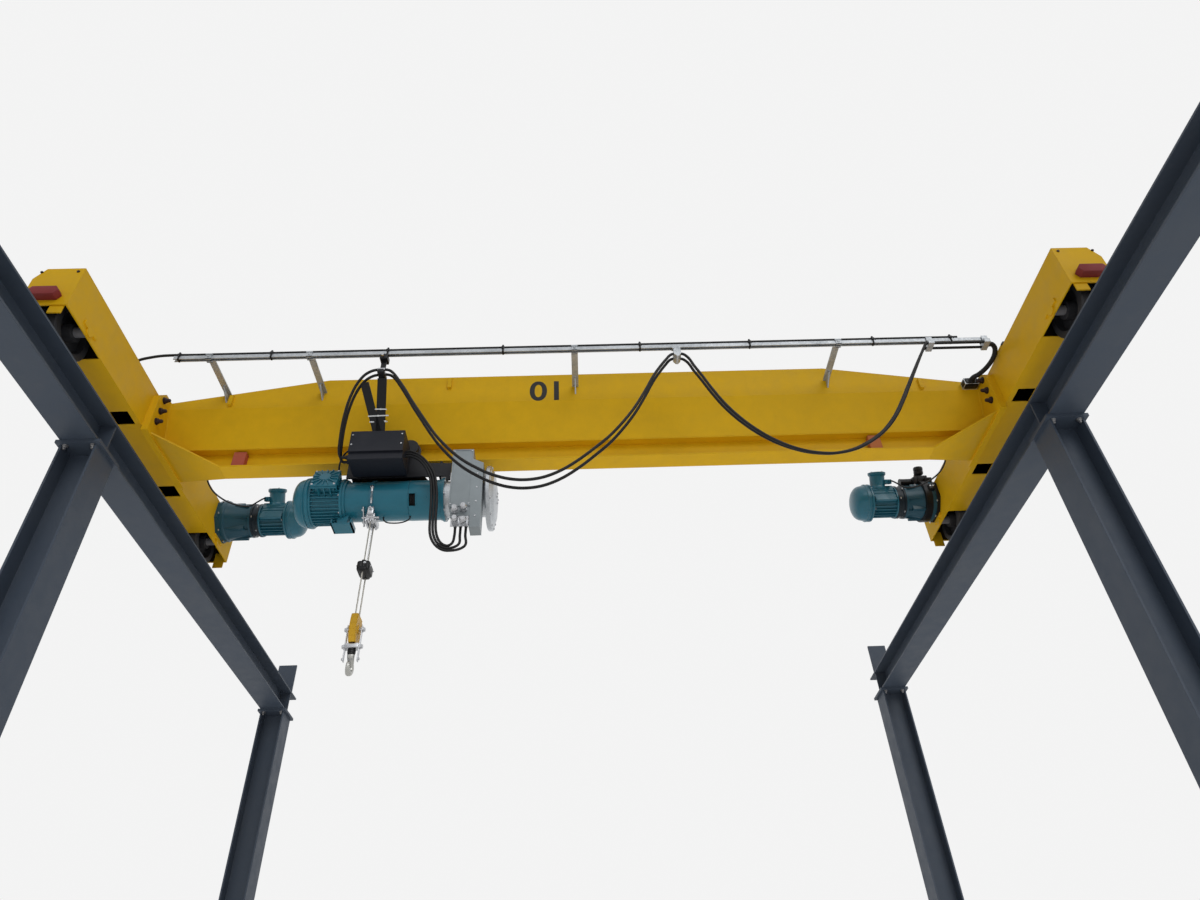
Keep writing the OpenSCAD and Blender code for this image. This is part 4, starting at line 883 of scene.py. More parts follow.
def makeDriveClamp(c, drive):
    bm = bmesh.new()
    base = driveFrame(1, drive)
    low, high = c["band"]
    driveFlange(bm, 1, drive)
    turned(bm, base, [(low, 0.13), (low, c["r"]), (high, c["r"]), (high, 0.125)])
    lean = math.radians(c["lean"])
    out = Vector((0, -math.sin(lean), math.cos(lean)))
    arm = frameOf(base.to_translation(), (-1, 0, 0), out)
    softSlab(bm, (low, -0.034, 0.13), (high, 0.034, 0.185), 0.005, arm)
    softSlab(bm, (0.02, -0.02, 0.15), (0.108, 0.02, 0.196), 0.006, arm)
    softSlab(bm, (0.096, -0.04, 0.12), (0.13, 0.03, 0.186), 0.008, arm)
    reach, foot, top, r = c["knob"]
    turned(bm, arm @ Matrix.Translation((reach, 0, 0)), [
        (foot, 0), (foot, 0.017), (foot + 0.016, 0.017), (foot + 0.022, r - 0.005), (foot + 0.03, r), (foot + 0.046, r),
        (foot + 0.05, r - 0.004), (foot + 0.054, r), (top - 0.008, r), (top, r - 0.007), (top, 0)], 32)
    a, b, thick = c["coil"]
    coil = frameOf(at(drive["face"], drive["y"] - 0.035, drive["z"] + 0.152), up, left)
    turned(bm, coil, [(a, 0), (a, thick), (a + 0.01, thick), (a + 0.012, thick - 0.004), (b - 0.012, thick - 0.004),
                      (b - 0.01, thick), (b, thick), (b, 0)], 32)
    for i in range(c["coilRibs"]):
        step = a + 0.018 + i * (b - a - 0.036) / (c["coilRibs"] - 1)
        turned(bm, coil, [(step - 0.002, thick - 0.006), (step - 0.002, thick - 0.001), (step + 0.002, thick - 0.001),
                          (step + 0.002, thick - 0.006)], 32)
    # holder of the coil, and the clamp's ears towards the carriage
    for inner, outer, rounding, way in c["holders"]:
        softSlab(bm, inner, outer, rounding, frameOf(base.to_translation(), left, way))
    piece("driveClamp", bm, "bridge", "gear_paint", clampBlack, stands=("travel_gearbox_right",))
    bm = bmesh.new()
    for spot in ((low + 0.024, -0.034, 0.168), (low + 0.024, -0.034, 0.145), (0.1, -0.014, 0.2)):
        hexBolt(bm, arm @ Vector(spot), arm.to_3x3() @ near, 0.008)
    side = frameOf(base.to_translation(), (-1, 0, 0), (0, -1, 0.1))
    for x in (0.04, 0.06):
        hexBolt(bm, side @ Vector((x, 0, 0.172)), side.to_3x3() @ up, 0.007)
    hexBolt(bm, arm @ Vector((low + 0.02, -0.02, 0.185)), out, 0.008, tail=0.008)
    piece("clampBolts", bm, "bridge", "bare_steel", zincBright)


for driveSide, driveName in ((-1, "left"), (1, "right")):
    makeDriveCase(driveSide, driveName, travelDrive)
    makeDriveMotor(driveSide, driveName, travelDrive)
makeDriveClamp(driveClamp, travelDrive)
print("travel drives built")

# rail of the cable line, hung under its arms
cableRail = {"from": -2.43, "to": 2.53, "y": -0.49, "top": 0.363, "wide": 0.026, "tall": 0.026, "wall": 0.002,
             "lip": 0.006}


def makeCableRail(c):
    bm = bmesh.new()
    h, w, t, lip = c["tall"], c["wide"] / 2, c["wall"], c["wide"] / 2 - c["lip"]
    outline = [(-lip, -h), (-w, -h), (-w, 0), (w, 0), (w, -h), (lip, -h), (lip, -h + t), (w - t, -h + t), (w - t, -t),
               (-w + t, -t), (-w + t, -h + t), (-lip, -h + t)]
    prism(bm, [at(c["from"], c["y"] + y, c["top"] + z) for y, z in outline], (c["to"] - c["from"], 0, 0))
    piece("cableRail", bm, "bridge", "galvanised", stands=("cable_rail",))


railTies = {"places": (-2.401, -1.85, -1.15, -0.454, 0.38, 1.054, 1.817, 2.30), "y": -0.49, "low": 0.334, "high": 0.394,
            "wide": 0.012, "half": 0.0165}


def makeRailTies(c):
    bm = bmesh.new()
    front, back, wide = c["y"] - c["half"], c["y"] + c["half"], c["wide"] / 2
    for x in c["places"]:
        # band, its lock and the loose tail
        softSlab(bm, at(x - wide, front, c["low"]), at(x + wide, back, c["high"]), 0.004)
        softSlab(bm, at(x - wide - 0.003, front - 0.006, 0.36), at(x + wide + 0.003, front + 0.002, 0.376), 0.002)
        rod(bm, at(x, front - 0.003, 0.366), (0.3, -0.5, -1), 0.002, 0.03, segments=8)
    piece("railTies", bm, "bridge", "cable_skin", clampBlack)


armBolts = {"places": (-2.22, -1.62, -0.02, 1.6), "y": -0.49, "top": 0.371, "half": 0.0135,
            "cage": {"half": 0.016, "thick": 0.004, "low": 0.33, "high": 0.373, "lip": (0.0065, 0.0175)}}


def makeArmBolts(c):
    bm = bmesh.new()
    for x in c["places"]:
        hexBolt(bm, at(x, c["y"], c["top"]), up, 0.009)
        hexBolt(bm, at(x, c["y"] + 0.06, c["top"]), up, 0.008)
        # cage that holds the rail up against the arm
        g = c["cage"]
        for side in (-1, 1):
            for reach, high in (((c["half"], c["half"] + g["thick"]), g["high"]), (g["lip"], g["low"] + g["thick"])):
                y0, y1 = sorted(c["y"] + side * r for r in reach)
                slab(bm, at(x - g["half"], y0, g["low"]), at(x + g["half"], y1, high))
        hexBolt(bm, at(x, c["y"] - c["half"] - g["thick"], 0.35), near, 0.0075)
    piece("armBolts", bm, "bridge", "galvanised")


# the cables go into the girder's end through a flat black inlet
cableInlet = {"low": (2.4565, -0.2105, 0.2475), "high": (2.5555, -0.1505, 0.3065), "round": 0.018,
              "hose": (2.505, -0.206, 0.277), "tube": (2.613, -0.392, 0.3025), "tubeLong": 0.1}


def makeCableInlet(c):
    bm = bmesh.new()
    softSlab(bm, at(*c["low"]), at(*c["high"]), c["round"], segments=4)
    place = at(*c["hose"])
    rod(bm, place + Vector((0, 0.012, 0)), near, 0.024, 0.022, 0.02, 24)
    rod(bm, place - Vector((0, 0.01, 0)), near, 0.0185, 0.012, 0.0165, 24)
    piece("cableInlet", bm, "bridge", "cable_skin", clampBlack)
    # short painted tube with a cap, lying on the right-hand carriage's inner edge
    bm = bmesh.new()
    tube = at(*c["tube"])
    rod(bm, tube, near, 0.0125, c["tubeLong"], segments=24)
    piece("edgeTube", bm, "bridge", "crane_paint", bevel=0.001)
    bm = bmesh.new()
    rod(bm, tube + near * (c["tubeLong"] - 0.003), near, 0.0145, 0.02, 0.0135, 24)
    piece("edgeTubeCap", bm, "bridge", "cable_skin", clampBlack, bevel=0.001)


makeCableRail(cableRail)
makeRailTies(railTies)
makeArmBolts(armBolts)
makeCableInlet(cableInlet)
print("bridge dressed")

# trolley: distances along the drum's axis from its middle
hoistDrum = {"x": -1.1, "z": -0.397, "r": 0.12, "half": 0.295, "ring": 0.131, "seam": 0.09,
             "window": {"at": 0.112, "half": 0.018, "turn": 34, "arc": 18}, "rope": 0.1}


def makeHoistDrum(c):
    bm = bmesh.new()
    centre = at(c["x"], 0, c["z"])
    base = frameOf(centre, up, right)
    h, r, w, ring, seam = c["half"], c["r"], c["window"], c["ring"], c["seam"]
    a, b = w["at"] - w["half"], w["at"] + w["half"]
    turned(bm, base, [(-h, 0), (-h, ring), (-h + 0.016, ring), (-h + 0.018, r - 0.001), (seam - 0.004, r - 0.001),
                      (seam - 0.003, r - 0.004), (seam + 0.001, r - 0.004), (seam + 0.002, r), (a, r), (b, r),
                      (h - 0.03, r), (h - 0.028, r + 0.004), (h - 0.018, r + 0.004), (h - 0.016, ring), (h, ring),
                      (h, 0)], 120)
    bmesh.ops.remove_doubles(bm, verts=bm.verts, dist=1e-5)
    # the faces of the window are sunk for its rim, and taken out
    turn = math.radians(w["turn"])
    facing = Vector((0, -math.cos(turn), -math.sin(turn)))
    opened = []
    for face in bm.faces:
        middle = face.calc_center_median() - centre
        flat = Vector((0, middle.y, middle.z))
        if a < middle.x < b and flat.length > r * 0.98 and flat.angle(facing) < math.radians(w["arc"]):
            opened.append(face)
    rim = bmesh.ops.extrude_face_region(bm, geom=opened)
    sunk = [g for g in rim["geom"] if isinstance(g, bmesh.types.BMVert)]
    bmesh.ops.scale(bm, vec=(1, 0.93, 0.93), space=Matrix.Translation(-centre), verts=sunk)
    bmesh.ops.delete(bm, geom=[g for g in rim["geom"] if isinstance(g, bmesh.types.BMFace)] +
                     [f for f in opened if f.is_valid], context="FACES_ONLY")
    # raised edges of the window
    edgeBase = frameOf(centre + facing * r, right, facing)
    for side in (-1, 1):
        x = w["at"] + side * (w["half"] + 0.004)
        slab(bm, (x - 0.003, -0.036, -0.008), (x + 0.003, 0.036, 0.002), edgeBase)
    piece("hoistDrum", bm, "trolley", "motor_paint", stands=("drum_casing",))
    bm = bmesh.new()
    # rope drum with its grooves, painted near black as the shade seen through the window
    turned(bm, base, [(0.02, 0), (0.02, c["rope"]), (0.2, c["rope"]), (0.2, 0)], 60)
    for i in range(11):
        z = 0.05 + i * 0.012
        turned(bm, base, [(z - 0.004, c["rope"] - 0.001), (z, c["rope"] + 0.004), (z + 0.004, c["rope"] - 0.001)], 60)
    piece("ropeDrum", bm, "trolley", "motor_paint", windowShadeBlack)


hoistMotor = {"ring": 0.146, "body": (0.004, 0.19), "core": 0.122, "fin": 0.137, "fins": 40, "finThick": 0.0048,
              "rings": ((0.295, 0.125, 8, 0.008, 0.3), (0.5715, 0.181, 12, 0.007, 0.1), (0.598, 0.03, 4, 0.006, 0.3)),
              "foot": {"x": (-0.352, -0.232), "y": 0.05, "z": (-0.585, -0.55), "neck": -0.505},
              "box": {"turn": 72, "at": 0.094, "half": (0.076, 0.076), "low": 0.1, "high": 0.182, "ribs": 14,
                      "lead": (-0.33, -0.1311, -0.2657)}}


def makeHoistMotor(c, drum):
    bm = bmesh.new()
    # X looks up, Z to the left
    base = frameOf(at(drum["x"] - drum["half"], 0, drum["z"]), up, left)
    low, high = c["body"]
    core, fin, ring = c["core"], c["fin"], c["ring"]
    turned(bm, base, [(-0.001, 0), (-0.001, ring - 0.006), (0.012, ring - 0.006), (0.014, core), (high - 0.014, core),
                      (high - 0.012, ring - 0.006), (high, ring - 0.006), (high, 0)], 60)
    finsRound(bm, base, core, fin, low + 0.006, high - 0.006, c["fins"], c["finThick"])
    turned(bm, base, [(high, 0), (high, ring), (high + 0.006, ring + 0.006), (high + 0.016, ring + 0.006),
                      (high + 0.019, ring), (high + 0.024, ring - 0.001), (high + 0.027, ring + 0.004),
                      (high + 0.033, ring + 0.002)] + domeProfile(high + 0.036, ring - 0.004, 0.076), 60)
    # foot: a channel under the motor's drum end
    f = c["foot"]
    x0, x1 = drum["x"] + f["x"][0], drum["x"] + f["x"][1]
    slab(bm, at(x0, -f["y"], f["z"][0]), at(x1, f["y"], f["z"][0] + 0.008))
    for x in (x0, x1 - 0.008):
        slab(bm, at(x, -f["y"], f["z"][0]), at(x + 0.008, f["y"], f["z"][1]))
    slab(bm, at(x0 + 0.03, -0.03, f["z"][0] + 0.004), at(x1 - 0.03, 0.03, f["neck"]))
    # terminal box, wider at its lid, ribbed all round and turned to the near side
    b = c["box"]
    turn = math.radians(b["turn"])
    out = Vector((0, -math.sin(turn), math.cos(turn)))
    box = frameOf(at(drum["x"] - drum["half"] - b["at"], 0, drum["z"]), left, out)
    (wide, deep), foot, lid = b["half"], b["low"], b["high"]
    slab(bm, (-wide * 0.72, -deep * 0.74, foot), (wide * 0.72, deep * 0.74, lid - 0.022), box)
    softSlab(bm, (-wide, -deep, lid - 0.026), (wide, deep, lid - 0.012), 0.005, box, 2)
    softSlab(bm, (-wide, -deep, lid - 0.011), (wide, deep, lid), 0.004, box, 2)
    turned(bm, box, [(lid - 0.002, 0), (lid - 0.002, 0.036), (lid + 0.01, 0.032), (lid + 0.01, 0)], 40)
    for i, rib in enumerate(turnedOnAxis(box, b["ribs"])):
        a = 2 * math.pi * (i + 0.5) / b["ribs"]
        reach = min(wide / max(abs(math.cos(a)), 1e-3), deep / max(abs(math.sin(a)), 1e-3), 0.09)
        slab(bm, (0.03, -0.003, foot), (reach - 0.002, 0.003, lid - 0.02), rib)
        slab(bm, (0.03, -0.003, lid - 0.002), (reach - 0.004, 0.003, lid + 0.008), rib)
    # entry of the motor's lead on the box's upper side
    entry, way = at(drum["x"] + b["lead"][0], *b["lead"][1:]), Vector((0, 0.707, -0.707))
    rod(bm, entry - way * 0.003, way, 0.0105, 0.05, 0.014, 6)
    piece("hoistMotor", bm, "trolley", "motor_paint", stands=("hoist_motor",))
    bm = bmesh.new()
    for x in (-1, 1):
        for y in (-1, 1):
            hexBolt(bm, box @ Vector((x * (wide - 0.012), y * (deep - 0.012), lid)), out, 0.0065)
    ringOf(bm, base @ Vector((0, 0, 0.012)), left, ring - 0.013, 8, 0.008, 0.5)
    for x, *ring in c["rings"]:
        ringOf(bm, at(drum["x"] + x, 0, drum["z"]), right, *ring)
    piece("hoistBolts", bm, "trolley", "bare_steel", zincBright)


# forked tow arm: two flat prongs in one leaning plane, from the switch box up to the first cable carrier
towArm = {"x": -1.165, "line": -0.49, "foot": (-0.272, -0.1), "head": (-0.49, 0.165), "thick": 0.008,
          "prongs": (((-0.018, -0.004), (0.003, 0.33), 0.054), ((-0.032, -0.004), (-0.102, 0.306), 0.05)),
          "ties": ((-0.044, 0.024, 0.146, 0.03), (-0.086, 0.034, 0.108, -0.02), (-0.078, -0.05, 0.072, 0.0),
                   (0.008, 0.026, 0.08, 0.35))}


def makeTowArm(c):
    bm = bmesh.new()
    foot, head = at(c["x"], *c["foot"]), at(c["x"], *c["head"])
    base = frameOf(foot, right, head - foot)
    for (x0, z0), (x1, z1), wide in c["prongs"]:
        way = Vector((x1 - x0, 0, z1 - z0))
        leaf = base @ frameOf((x0, 0, z0), (1, 0, 0), way)
        slab(bm, (-wide / 2, -c["thick"] / 2, 0), (wide / 2, c["thick"] / 2, way.length), leaf)
    slab(bm, at(c["x"] - 0.066, -0.289, -0.1), at(c["x"] + 0.02, -0.246, -0.094))
    # carrier on the line: hanger, wheel cheeks and the saddle for the two cables
    y = c["line"]
    softSlab(bm, at(c["x"] - 0.016, y - 0.005, 0.19), at(c["x"] + 0.016, y + 0.005, 0.345), 0.003)
    softSlab(bm, at(c["x"] - 0.024, y - 0.03, 0.286), at(c["x"] + 0.024, y + 0.03, 0.328), 0.006)
    for side in (-1, 1):
        rod(bm, at(c["x"] + side * 0.012, y - 0.01, 0.35), far, 0.009, 0.02, segments=20)
    softSlab(bm, at(c["x"] - 0.02, y - 0.045, 0.155), at(c["x"] + 0.02, y + 0.045, 0.1855), 0.008)
    piece("towArm", bm, "trolley", "black_steel", clampBlack, stands=("tow_arm",))
    bm = bmesh.new()
    for side in (-1, 1):
        rod(bm, at(c["x"] - 0.021, y + side * 0.021, 0.196), right, 0.0118, 0.042, segments=24)
    rod(bm, at(c["x"] - 0.003, y - 0.04, 0.3), near, 0.008, 0.01, segments=6)
    slab(bm, at(c["x"] - 0.021, y - 0.036, 0.182), at(c["x"] + 0.021, y + 0.036, 0.188))
    piece("towClamp", bm, "trolley", "galvanised", zincBright)
    # white ties round the prongs, with their tails left on
    bm = bmesh.new()
    for x0, x1, z, lean in c["ties"]:
        tie = base @ Matrix.Translation((0, 0, z)) @ Matrix.Rotation(lean, 4, "Y")
        middle = (x0 + x1) / 2
        for low, high in (((x0, -0.0075, -0.0035), (x1, -0.005, 0.0035)), ((x0, 0.005, -0.0035), (x1, 0.0075, 0.0035)),
                          ((middle - 0.004, -0.0115, -0.005), (middle + 0.004, -0.005, 0.005))):
            softSlab(bm, low, high, 0.001, tie, 1)
    piece("towTies", bm, "trolley", "black_plastic", tieWhite)


ropeGuide = {
    "x": -1.225, "half": 0.038, "strap": 0.011, "from": -100, "to": 72, "coils": 9,
    "casting": (((-0.026, -0.062, -0.032), (0.026, 0.062, -0.001), 0.006),
                ((-0.018, -0.082, -0.022), (0.02, -0.05, 0.03), 0.006),
                ((-0.034, -0.05, -0.052), (-0.022, 0.03, -0.012), 0.004),
                ((0.018, -0.044, -0.046), (0.03, 0.044, -0.016), 0.004)),
    "bolts": (((0.002, -0.082, 0.012), near, 0.011, 0.01), ((0.012, -0.062, -0.018), near, 0.009, 0.008),
              ((-0.041, -0.082, 0.004), left, 0.009, 0), ((-0.041, -0.034, -0.05), left, 0.009, 0),
              ((0.03, -0.02, -0.03), right, 0.009, 0.012), ((0, -0.045, -0.032), down, 0.01, 0.012),
              ((0.002, -0.1265, 0.134), near, 0.011, 0))}


def makeRopeGuide(c, drum):
    bm = bmesh.new()
    centre = at(c["x"], 0, drum["z"])
    r = drum["r"] + 0.0006
    # strap round the near half of the drum
    start = math.radians(c["from"])
    hoop = frameOf(centre, (0, -math.cos(start), math.sin(start)), right)
    band = [(-c["strap"], r), (-c["strap"], r + 0.004), (c["strap"], r + 0.004), (c["strap"], r), (-c["strap"], r)]
    turned(bm, hoop, band, 40, -math.radians(c["to"] - c["from"]))
    piece("guideStrap", bm, "trolley", "bare_steel", tankPaint, angle=30)
    bm = bmesh.new()
    # distances from the drum's lowest line: two-part casting with a lever, rollers and its bolts
    z = drum["z"] - drum["r"]
    lowest = at(c["x"], 0, z)
    for low, high, rounding in c["casting"]:
        softSlab(bm, lowest + Vector(low), lowest + Vector(high), rounding)
    for y in (-c["half"], c["half"]):
        for side in (-1, 1):
            rod(bm, at(c["x"] + side * 0.0135 - 0.001, y - 0.016, z - 0.04), far, 0.008, 0.032, segments=20)
    lever = frameOf(at(c["x"] - 0.038, -0.092, z + 0.02), right, Vector((0, 0.082, -0.1)))
    softSlab(bm, (-0.003, -0.013, 0), (0.003, 0.013, 0.118), 0.002, lever)
    rod(bm, at(c["x"] - 0.05, -0.05, z - 0.03), right, 0.006, 0.1, segments=16)
    # tension link on the strap, spring and the two loose ends of its wire
    link = frameOf(at(c["x"] + 0.004, -0.128, drum["z"] + 0.012), right, Vector((0, 0.03, -0.1)))
    softSlab(bm, (-0.006, -0.004, -0.01), (0.006, 0.004, 0.1), 0.003, link)
    for k in range(c["coils"]):
        coil = link @ Matrix.Translation((0, 0, 0.028 + k * 0.006))
        turned(bm, coil, [(-0.0016, 0.007), (0, 0.009), (0.0016, 0.007)], 20)
    piece("ropeGuide", bm, "trolley", "bare_steel", zincBright, stands=("rope_guide",))
    bm = bmesh.new()
    for spot, way, size, tail in c["bolts"]:
        hexBolt(bm, lowest + Vector(spot), way, size, tail)
    piece("guideBolts", bm, "trolley", "bare_steel", zincBright)


limitWeight = {"x": -1.225, "z": -0.865, "half": (0.036, 0.05, 0.031), "ropes": 0.038, "guide": -0.56, "wire": 0.0016}


def makeLimitWeight(c):
    bm = bmesh.new()
    x, y, z = c["half"]
    for side in (-1, 1):
        low, high = (-x, -0.0015) if side < 0 else (0.0015, x)
        softSlab(bm, at(c["x"] + low, -y, c["z"] - z), at(c["x"] + high, y, c["z"] + z), 0.012)
    softSlab(bm, at(c["x"] - x * 0.62, -y - 0.006, c["z"] - z - 0.005),
             at(c["x"] + x * 0.62, y + 0.006, c["z"] - z * 0.3), 0.008)
    for dy in (-c["ropes"], c["ropes"]):
        sleeve = frameOf(at(c["x"], dy, c["z"] - z - 0.006), right, up)
        turned(bm, sleeve, [(0, 0.006), (0, 0.013), (0.07, 0.013), (0.07, 0.006)], 24)
    piece("limitWeight", bm, "trolley", "black_steel", clampBlack, stands=("limit_weight",))
    bm = bmesh.new()
    for dy in (-0.03, 0.03):
        hexBolt(bm, at(c["x"] + x, dy, c["z"] + 0.004), right, 0.006, tail=0.003)
        hexBolt(bm, at(c["x"] - x, dy, c["z"] + 0.004), left, 0.006)
    hexBolt(bm, at(c["x"] + 0.008, -y - 0.001, c["z"] + 0.014), near, 0.007)
    # thin wire from the guide to an eye on the weight
    rod(bm, at(c["x"] + 0.004, 0, c["z"] + z - 0.004), up, c["wire"], c["guide"] - c["z"] - z + 0.006, segments=10)
    turned(bm, frameOf(at(c["x"] + 0.004, 0, c["z"] + z + 0.008), up, right),
           [(-0.0016, 0.008), (0, 0.0096), (0.0016, 0.008), (0, 0.0064), (-0.0016, 0.008)], 24)
    piece("weightWire", bm, "trolley", "bare_steel", zincBright)


# load block: a slim yellow housing round the sheave, between two bright straps that carry the crosshead
hookBlock = {"x": -1.225, "z": -1.24, "half": 0.019, "pin": 0.054, "headTop": -0.084, "headFoot": -0.112,
             "strap": (0.037, 0.006, 0.012, -0.182),
             "outline": [(-0.043, 0.074), (-0.05, 0.046), (-0.0535, 0.012), (-0.052, -0.02), (-0.044, -0.054),
                         (-0.03, -0.082), (0.03, -0.082), (0.044, -0.054), (0.052, -0.02), (0.0535, 0.012),
                         (0.05, 0.046), (0.043, 0.074)]}


def makeHookBlock(c):
    bm = bmesh.new()
    for side in (-1, 1):
        inner, outer = side * (c["half"] - 0.005), side * c["half"]
        prism(bm, [at(c["x"] + inner, y, c["z"] + z) for y, z in c["outline"]], (outer - inner, 0, 0))
        boss = frameOf(at(c["x"] + outer, 0, c["z"]), up, (side, 0, 0))
        turned(bm, boss, [(-0.002, 0), (-0.002, 0.027), (0.004, 0.025), (0.004, 0)], 28)
    # rim of the housing between its cheeks, open at the top for the two falls
    for (y0, z0), (y1, z1) in zip(c["outline"], c["outline"][1:]):
        if abs(y0 - y1) < 0.05:
            long = math.hypot(y1 - y0, z1 - z0)
            leaf = frameOf(at(c["x"], y0, c["z"] + z0), (1, 0, 0), Vector((0, y1 - y0, z1 - z0)))
            slab(bm, (-c["half"] + 0.003, -0.0025, -0.001), (c["half"] - 0.003, 0.0025, long + 0.001), leaf)
    piece("hookBlock", bm, "hook_block", "block_paint", stands=("hook_block",))
    bm = bmesh.new()
    x, thick, half, foot = c["strap"]
    head = (c["headTop"] + c["headFoot"]) / 2
    for side in (-1, 1):
        low, high = sorted((side * (x - thick / 2), side * (x + thick / 2)))
        softSlab(bm, at(c["x"] + low, -half, c["z"] + foot), at(c["x"] + high, half, c["z"] + 0.026), 0.0025)
        # nuts and pins of the sheave and the crosshead, and the rivet at the strap's foot
        for out, z, *rest in ((x + thick / 2, 0, 0.0155, 0.006, None, 6), (0.012, 0, 0.0105, c["pin"] - 0.012),
                              (x + thick / 2, head, 0.0155, 0.006, None, 6), (0.012, head, 0.0105, c["pin"] - 0.012),
                              (x - 0.004, foot + 0.014, 0.007, 0.014, None, 16)):
            rod(bm, at(c["x"] + side * out, 0, c["z"] + z), (side, 0, 0), *rest)
    softSlab(bm, at(c["x"] - x, -0.022, c["z"] + c["headFoot"]), at(c["x"] + x, 0.022, c["z"] + c["headTop"]), 0.004)
    piece("blockStraps", bm, "hook_block", "bare_steel", zincBright)


loadHook = {"x": -1.225, "bend": -1.453, "r": 0.032, "shank": 0.0135, "flat": 1.3,
            "neck": ((0, 0.1, 13), (0, 0.082, 14), (0, 0.07, 15), (-0.001, 0.06, 15), (-0.004, 0.05, 14),
                     (-0.013, 0.04, 13.4))}


def makeLoadHook(c):
    bm = bmesh.new()
    spot = lambda q, z: at(c["x"], -q, c["bend"] + z)
    path, radii = [spot(q, z) for q, z, r in c["neck"]], [r / 1000 for q, z, r in c["neck"]]
    for i in range(27):
        a = math.radians(130 + i * 10)
        k = i / 2
        width = 27 - abs(k - 6) * (0.4 if k < 6 else 2.3)
        path.append(spot(c["r"] * math.cos(a), c["r"] * math.sin(a)))
        radii.append(width / 2000)
    tip = path[-1] + (path[-1] - path[-2]).normalized() * 0.006
    swept(bm, path + [tip], radii + [0.0016], (1, 0, 0), c["flat"])
    rod(bm, at(c["x"], 0, c["bend"] + 0.09), up, c["shank"], 0.04, segments=24)
    piece("loadHook", bm, "hook", "hook_steel", stands=("hook",), angle=50)
    bm = bmesh.new()
    # black thrust bearing and nut under the crosshead
    turned(bm, frameOf(at(c["x"], 0, c["bend"] + 0.066), right, up), [
        (0, 0), (0, 0.016), (0.004, 0.0195), (0.01, 0.0195), (0.012, 0.0215), (0.022, 0.0215), (0.0225, 0.019),
        (0.0235, 0.019), (0.024, 0.0215), (0.032, 0.0215), (0.0345, 0.019), (0.0345, 0)], 36)
    piece("hookBearing", bm, "hook", "hook_steel", clampBlack)
    bm = bmesh.new()
    # latch: a folded tongue across the throat, with its pin and spring
    low, high = spot(-0.004, 0.049), spot(0.0215, 0.0235)
    tongue = frameOf(low, (1, 0, 0), high - low)
    slab(bm, (-0.0075, -0.001, -0.004), (0.0075, 0.001, (high - low).length + 0.002), tongue)
    for side in (-1, 1):
        slab(bm, (side * 0.0075 - 0.001, -0.001, -0.004), (side * 0.0075 + 0.001, 0.009, 0.018), tongue)
    rod(bm, low + Vector((-0.016, 0, 0)), right, 0.003, 0.032, segments=14)
    piece("hookLatch", bm, "hook", "hook_steel", zincBright)


# cable glands of the control panel: three with cables under the plate, two blanked on its front and two more
# on a bracket under it; and the screws of the panel and of the switch box
panelGlands = {"x": -1.1, "first": 0.388, "step": 0.03, "y": -0.16, "plate": -0.655, "foot": -0.7,
               "blank": ((0.386, -0.624), (0.434, -0.612)), "front": -0.194,
               "hung": ((0.39, -0.69), (0.438, -0.7)), "bracket": ((0.364, -0.193, -0.724), (0.464, -0.188, -0.652)),
               "corners": ((0.356, -0.19), (0.458, -0.19), (0.356, -0.574), (0.458, -0.574)),
               "edge": tuple((0.499, -0.2, -0.36 - i * 0.1, 0.0045) for i in range(4)),
               "lid": tuple((x, -0.3, z, 0.005) for z in (-0.2, -0.128) for x in (-0.232, 0.056))}


def gland(bm, place, axis, size, length):
    place, axis = Vector(place), Vector(axis).normalized()
    rod(bm, place, axis, size, length * 0.28, segments=6)
    rod(bm, place + axis * length * 0.28, axis, size * 0.82, length * 0.14, segments=28)
    rod(bm, place + axis * length * 0.42, axis, size * 0.96, length * 0.3, segments=6, spin=0.3)
    rod(bm, place + axis * length * 0.72, axis, size * 0.94, length * 0.28, size * 0.62, 28)


def makePanelGlands(c):
    bm = bmesh.new()
    for i in range(3):
        place = at(c["x"] + c["first"] + i * c["step"], c["y"], c["plate"])
        gland(bm, place, down, 0.0145, c["plate"] - c["foot"] + 0.012)
    for x, z in c["blank"]:
        gland(bm, at(c["x"] + x, c["front"], z), near, 0.0225, 0.05)
    for x, z in c["hung"]:
        gland(bm, at(c["x"] + x, c["bracket"][0][1], z), near, 0.021, 0.046)
    low, high = c["bracket"]
    slab(bm, at(c["x"] + low[0], *low[1:]), at(c["x"] + high[0], *high[1:]))
    piece("panelGlands", bm, "trolley", "bare_steel", zincBright)
    bm = bmesh.new()
    for x, z in c["corners"]:
        hexBolt(bm, at(c["x"] + x, -0.2, z), near, 0.0045, washer=False)
    for x, y, z, radius in c["edge"] + c["lid"]:
        rod(bm, at(c["x"] + x, y, z), near, radius, 0.003, segments=14)
    piece("coverScrews", bm, "trolley", "bare_steel", zincBright)


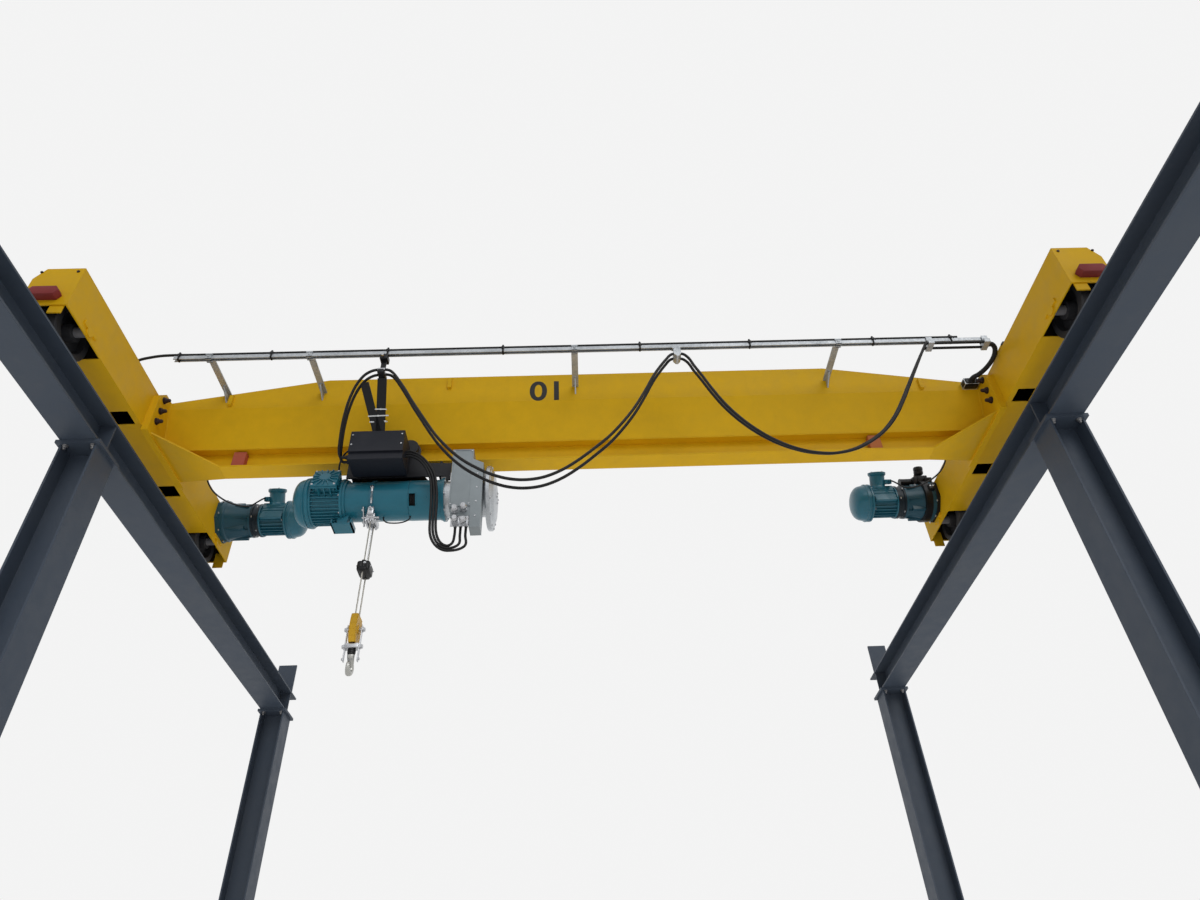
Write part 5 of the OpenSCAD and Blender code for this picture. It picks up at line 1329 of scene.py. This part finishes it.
makeHoistDrum(hoistDrum)
makeHoistMotor(hoistMotor, hoistDrum)
makeTowArm(towArm)
makeRopeGuide(ropeGuide, hoistDrum)
makeLimitWeight(limitWeight)
makePanelGlands(panelGlands)
print("trolley dressed")
makeHookBlock(hookBlock)
makeLoadHook(loadHook)
print("load block dressed")

# floor, light and backdrop
studio = {"floor": 0.8, "glow": 0.42, "backdrop": 0.9, "ambient": 0.28, "suns": [((0.3, -0.8, 0.42), 0.72, 35)]}


def makeStudio(c):
    bm = bmesh.new()
    bmesh.ops.create_grid(bm, x_segments=1, y_segments=1, size=40)
    shape = bpy.data.meshes.new("paleFloor")
    bm.to_mesh(shape)
    bm.free()
    newObject("paleFloor", shape)
    pale = (c["floor"], c["floor"], c["floor"], 1)
    paint = {"Base Color": pale, "Roughness": 0.9, "Emission Color": (1, 0.97, 0.92, 1), "Emission Strength": c["glow"]}
    shape.materials.append(newMaterial("floorPaint", paint)[0])
    world = bpy.data.worlds.new("studioWorld")
    bpy.context.scene.world = world
    world.use_nodes = True
    tree = world.node_tree
    tree.nodes.clear()
    # the pale backdrop is what is seen, also in mirrors and through glass; the dimmer ambient is what lights
    rays = add(tree, "ShaderNodeLightPath").outputs
    mirrored = maths(tree, "MAXIMUM", rays["Is Glossy Ray"], rays["Is Transmission Ray"])
    seen = maths(tree, "MAXIMUM", rays["Is Camera Ray"], mirrored)
    ambient = add(tree, "ShaderNodeBackground", {"Color": (0.93, 0.96, 1.0, 1), "Strength": c["ambient"]})
    white = (c["backdrop"], c["backdrop"], c["backdrop"], 1)
    backdrop = add(tree, "ShaderNodeBackground", {"Color": white, "Strength": 1.0})
    mix = add(tree, "ShaderNodeMixShader", {0: seen, 1: ambient.outputs[0], 2: backdrop.outputs[0]})
    add(tree, "ShaderNodeOutputWorld", {0: mix.outputs[0]})
    for i, (where, power, spread) in enumerate(c["suns"]):
        data = bpy.data.lights.new(f"softSun.{i + 1}", "SUN")
        data.angle = math.radians(spread)
        data.energy = power
        lamp = newObject(data.name, data)
        lamp.location = Vector(where) * 10
        lamp.rotation_mode = "QUATERNION"
        lamp.rotation_quaternion = (-Vector(where)).to_track_quat("-Z", "Y")


makeStudio(studio)
print("studio ready")
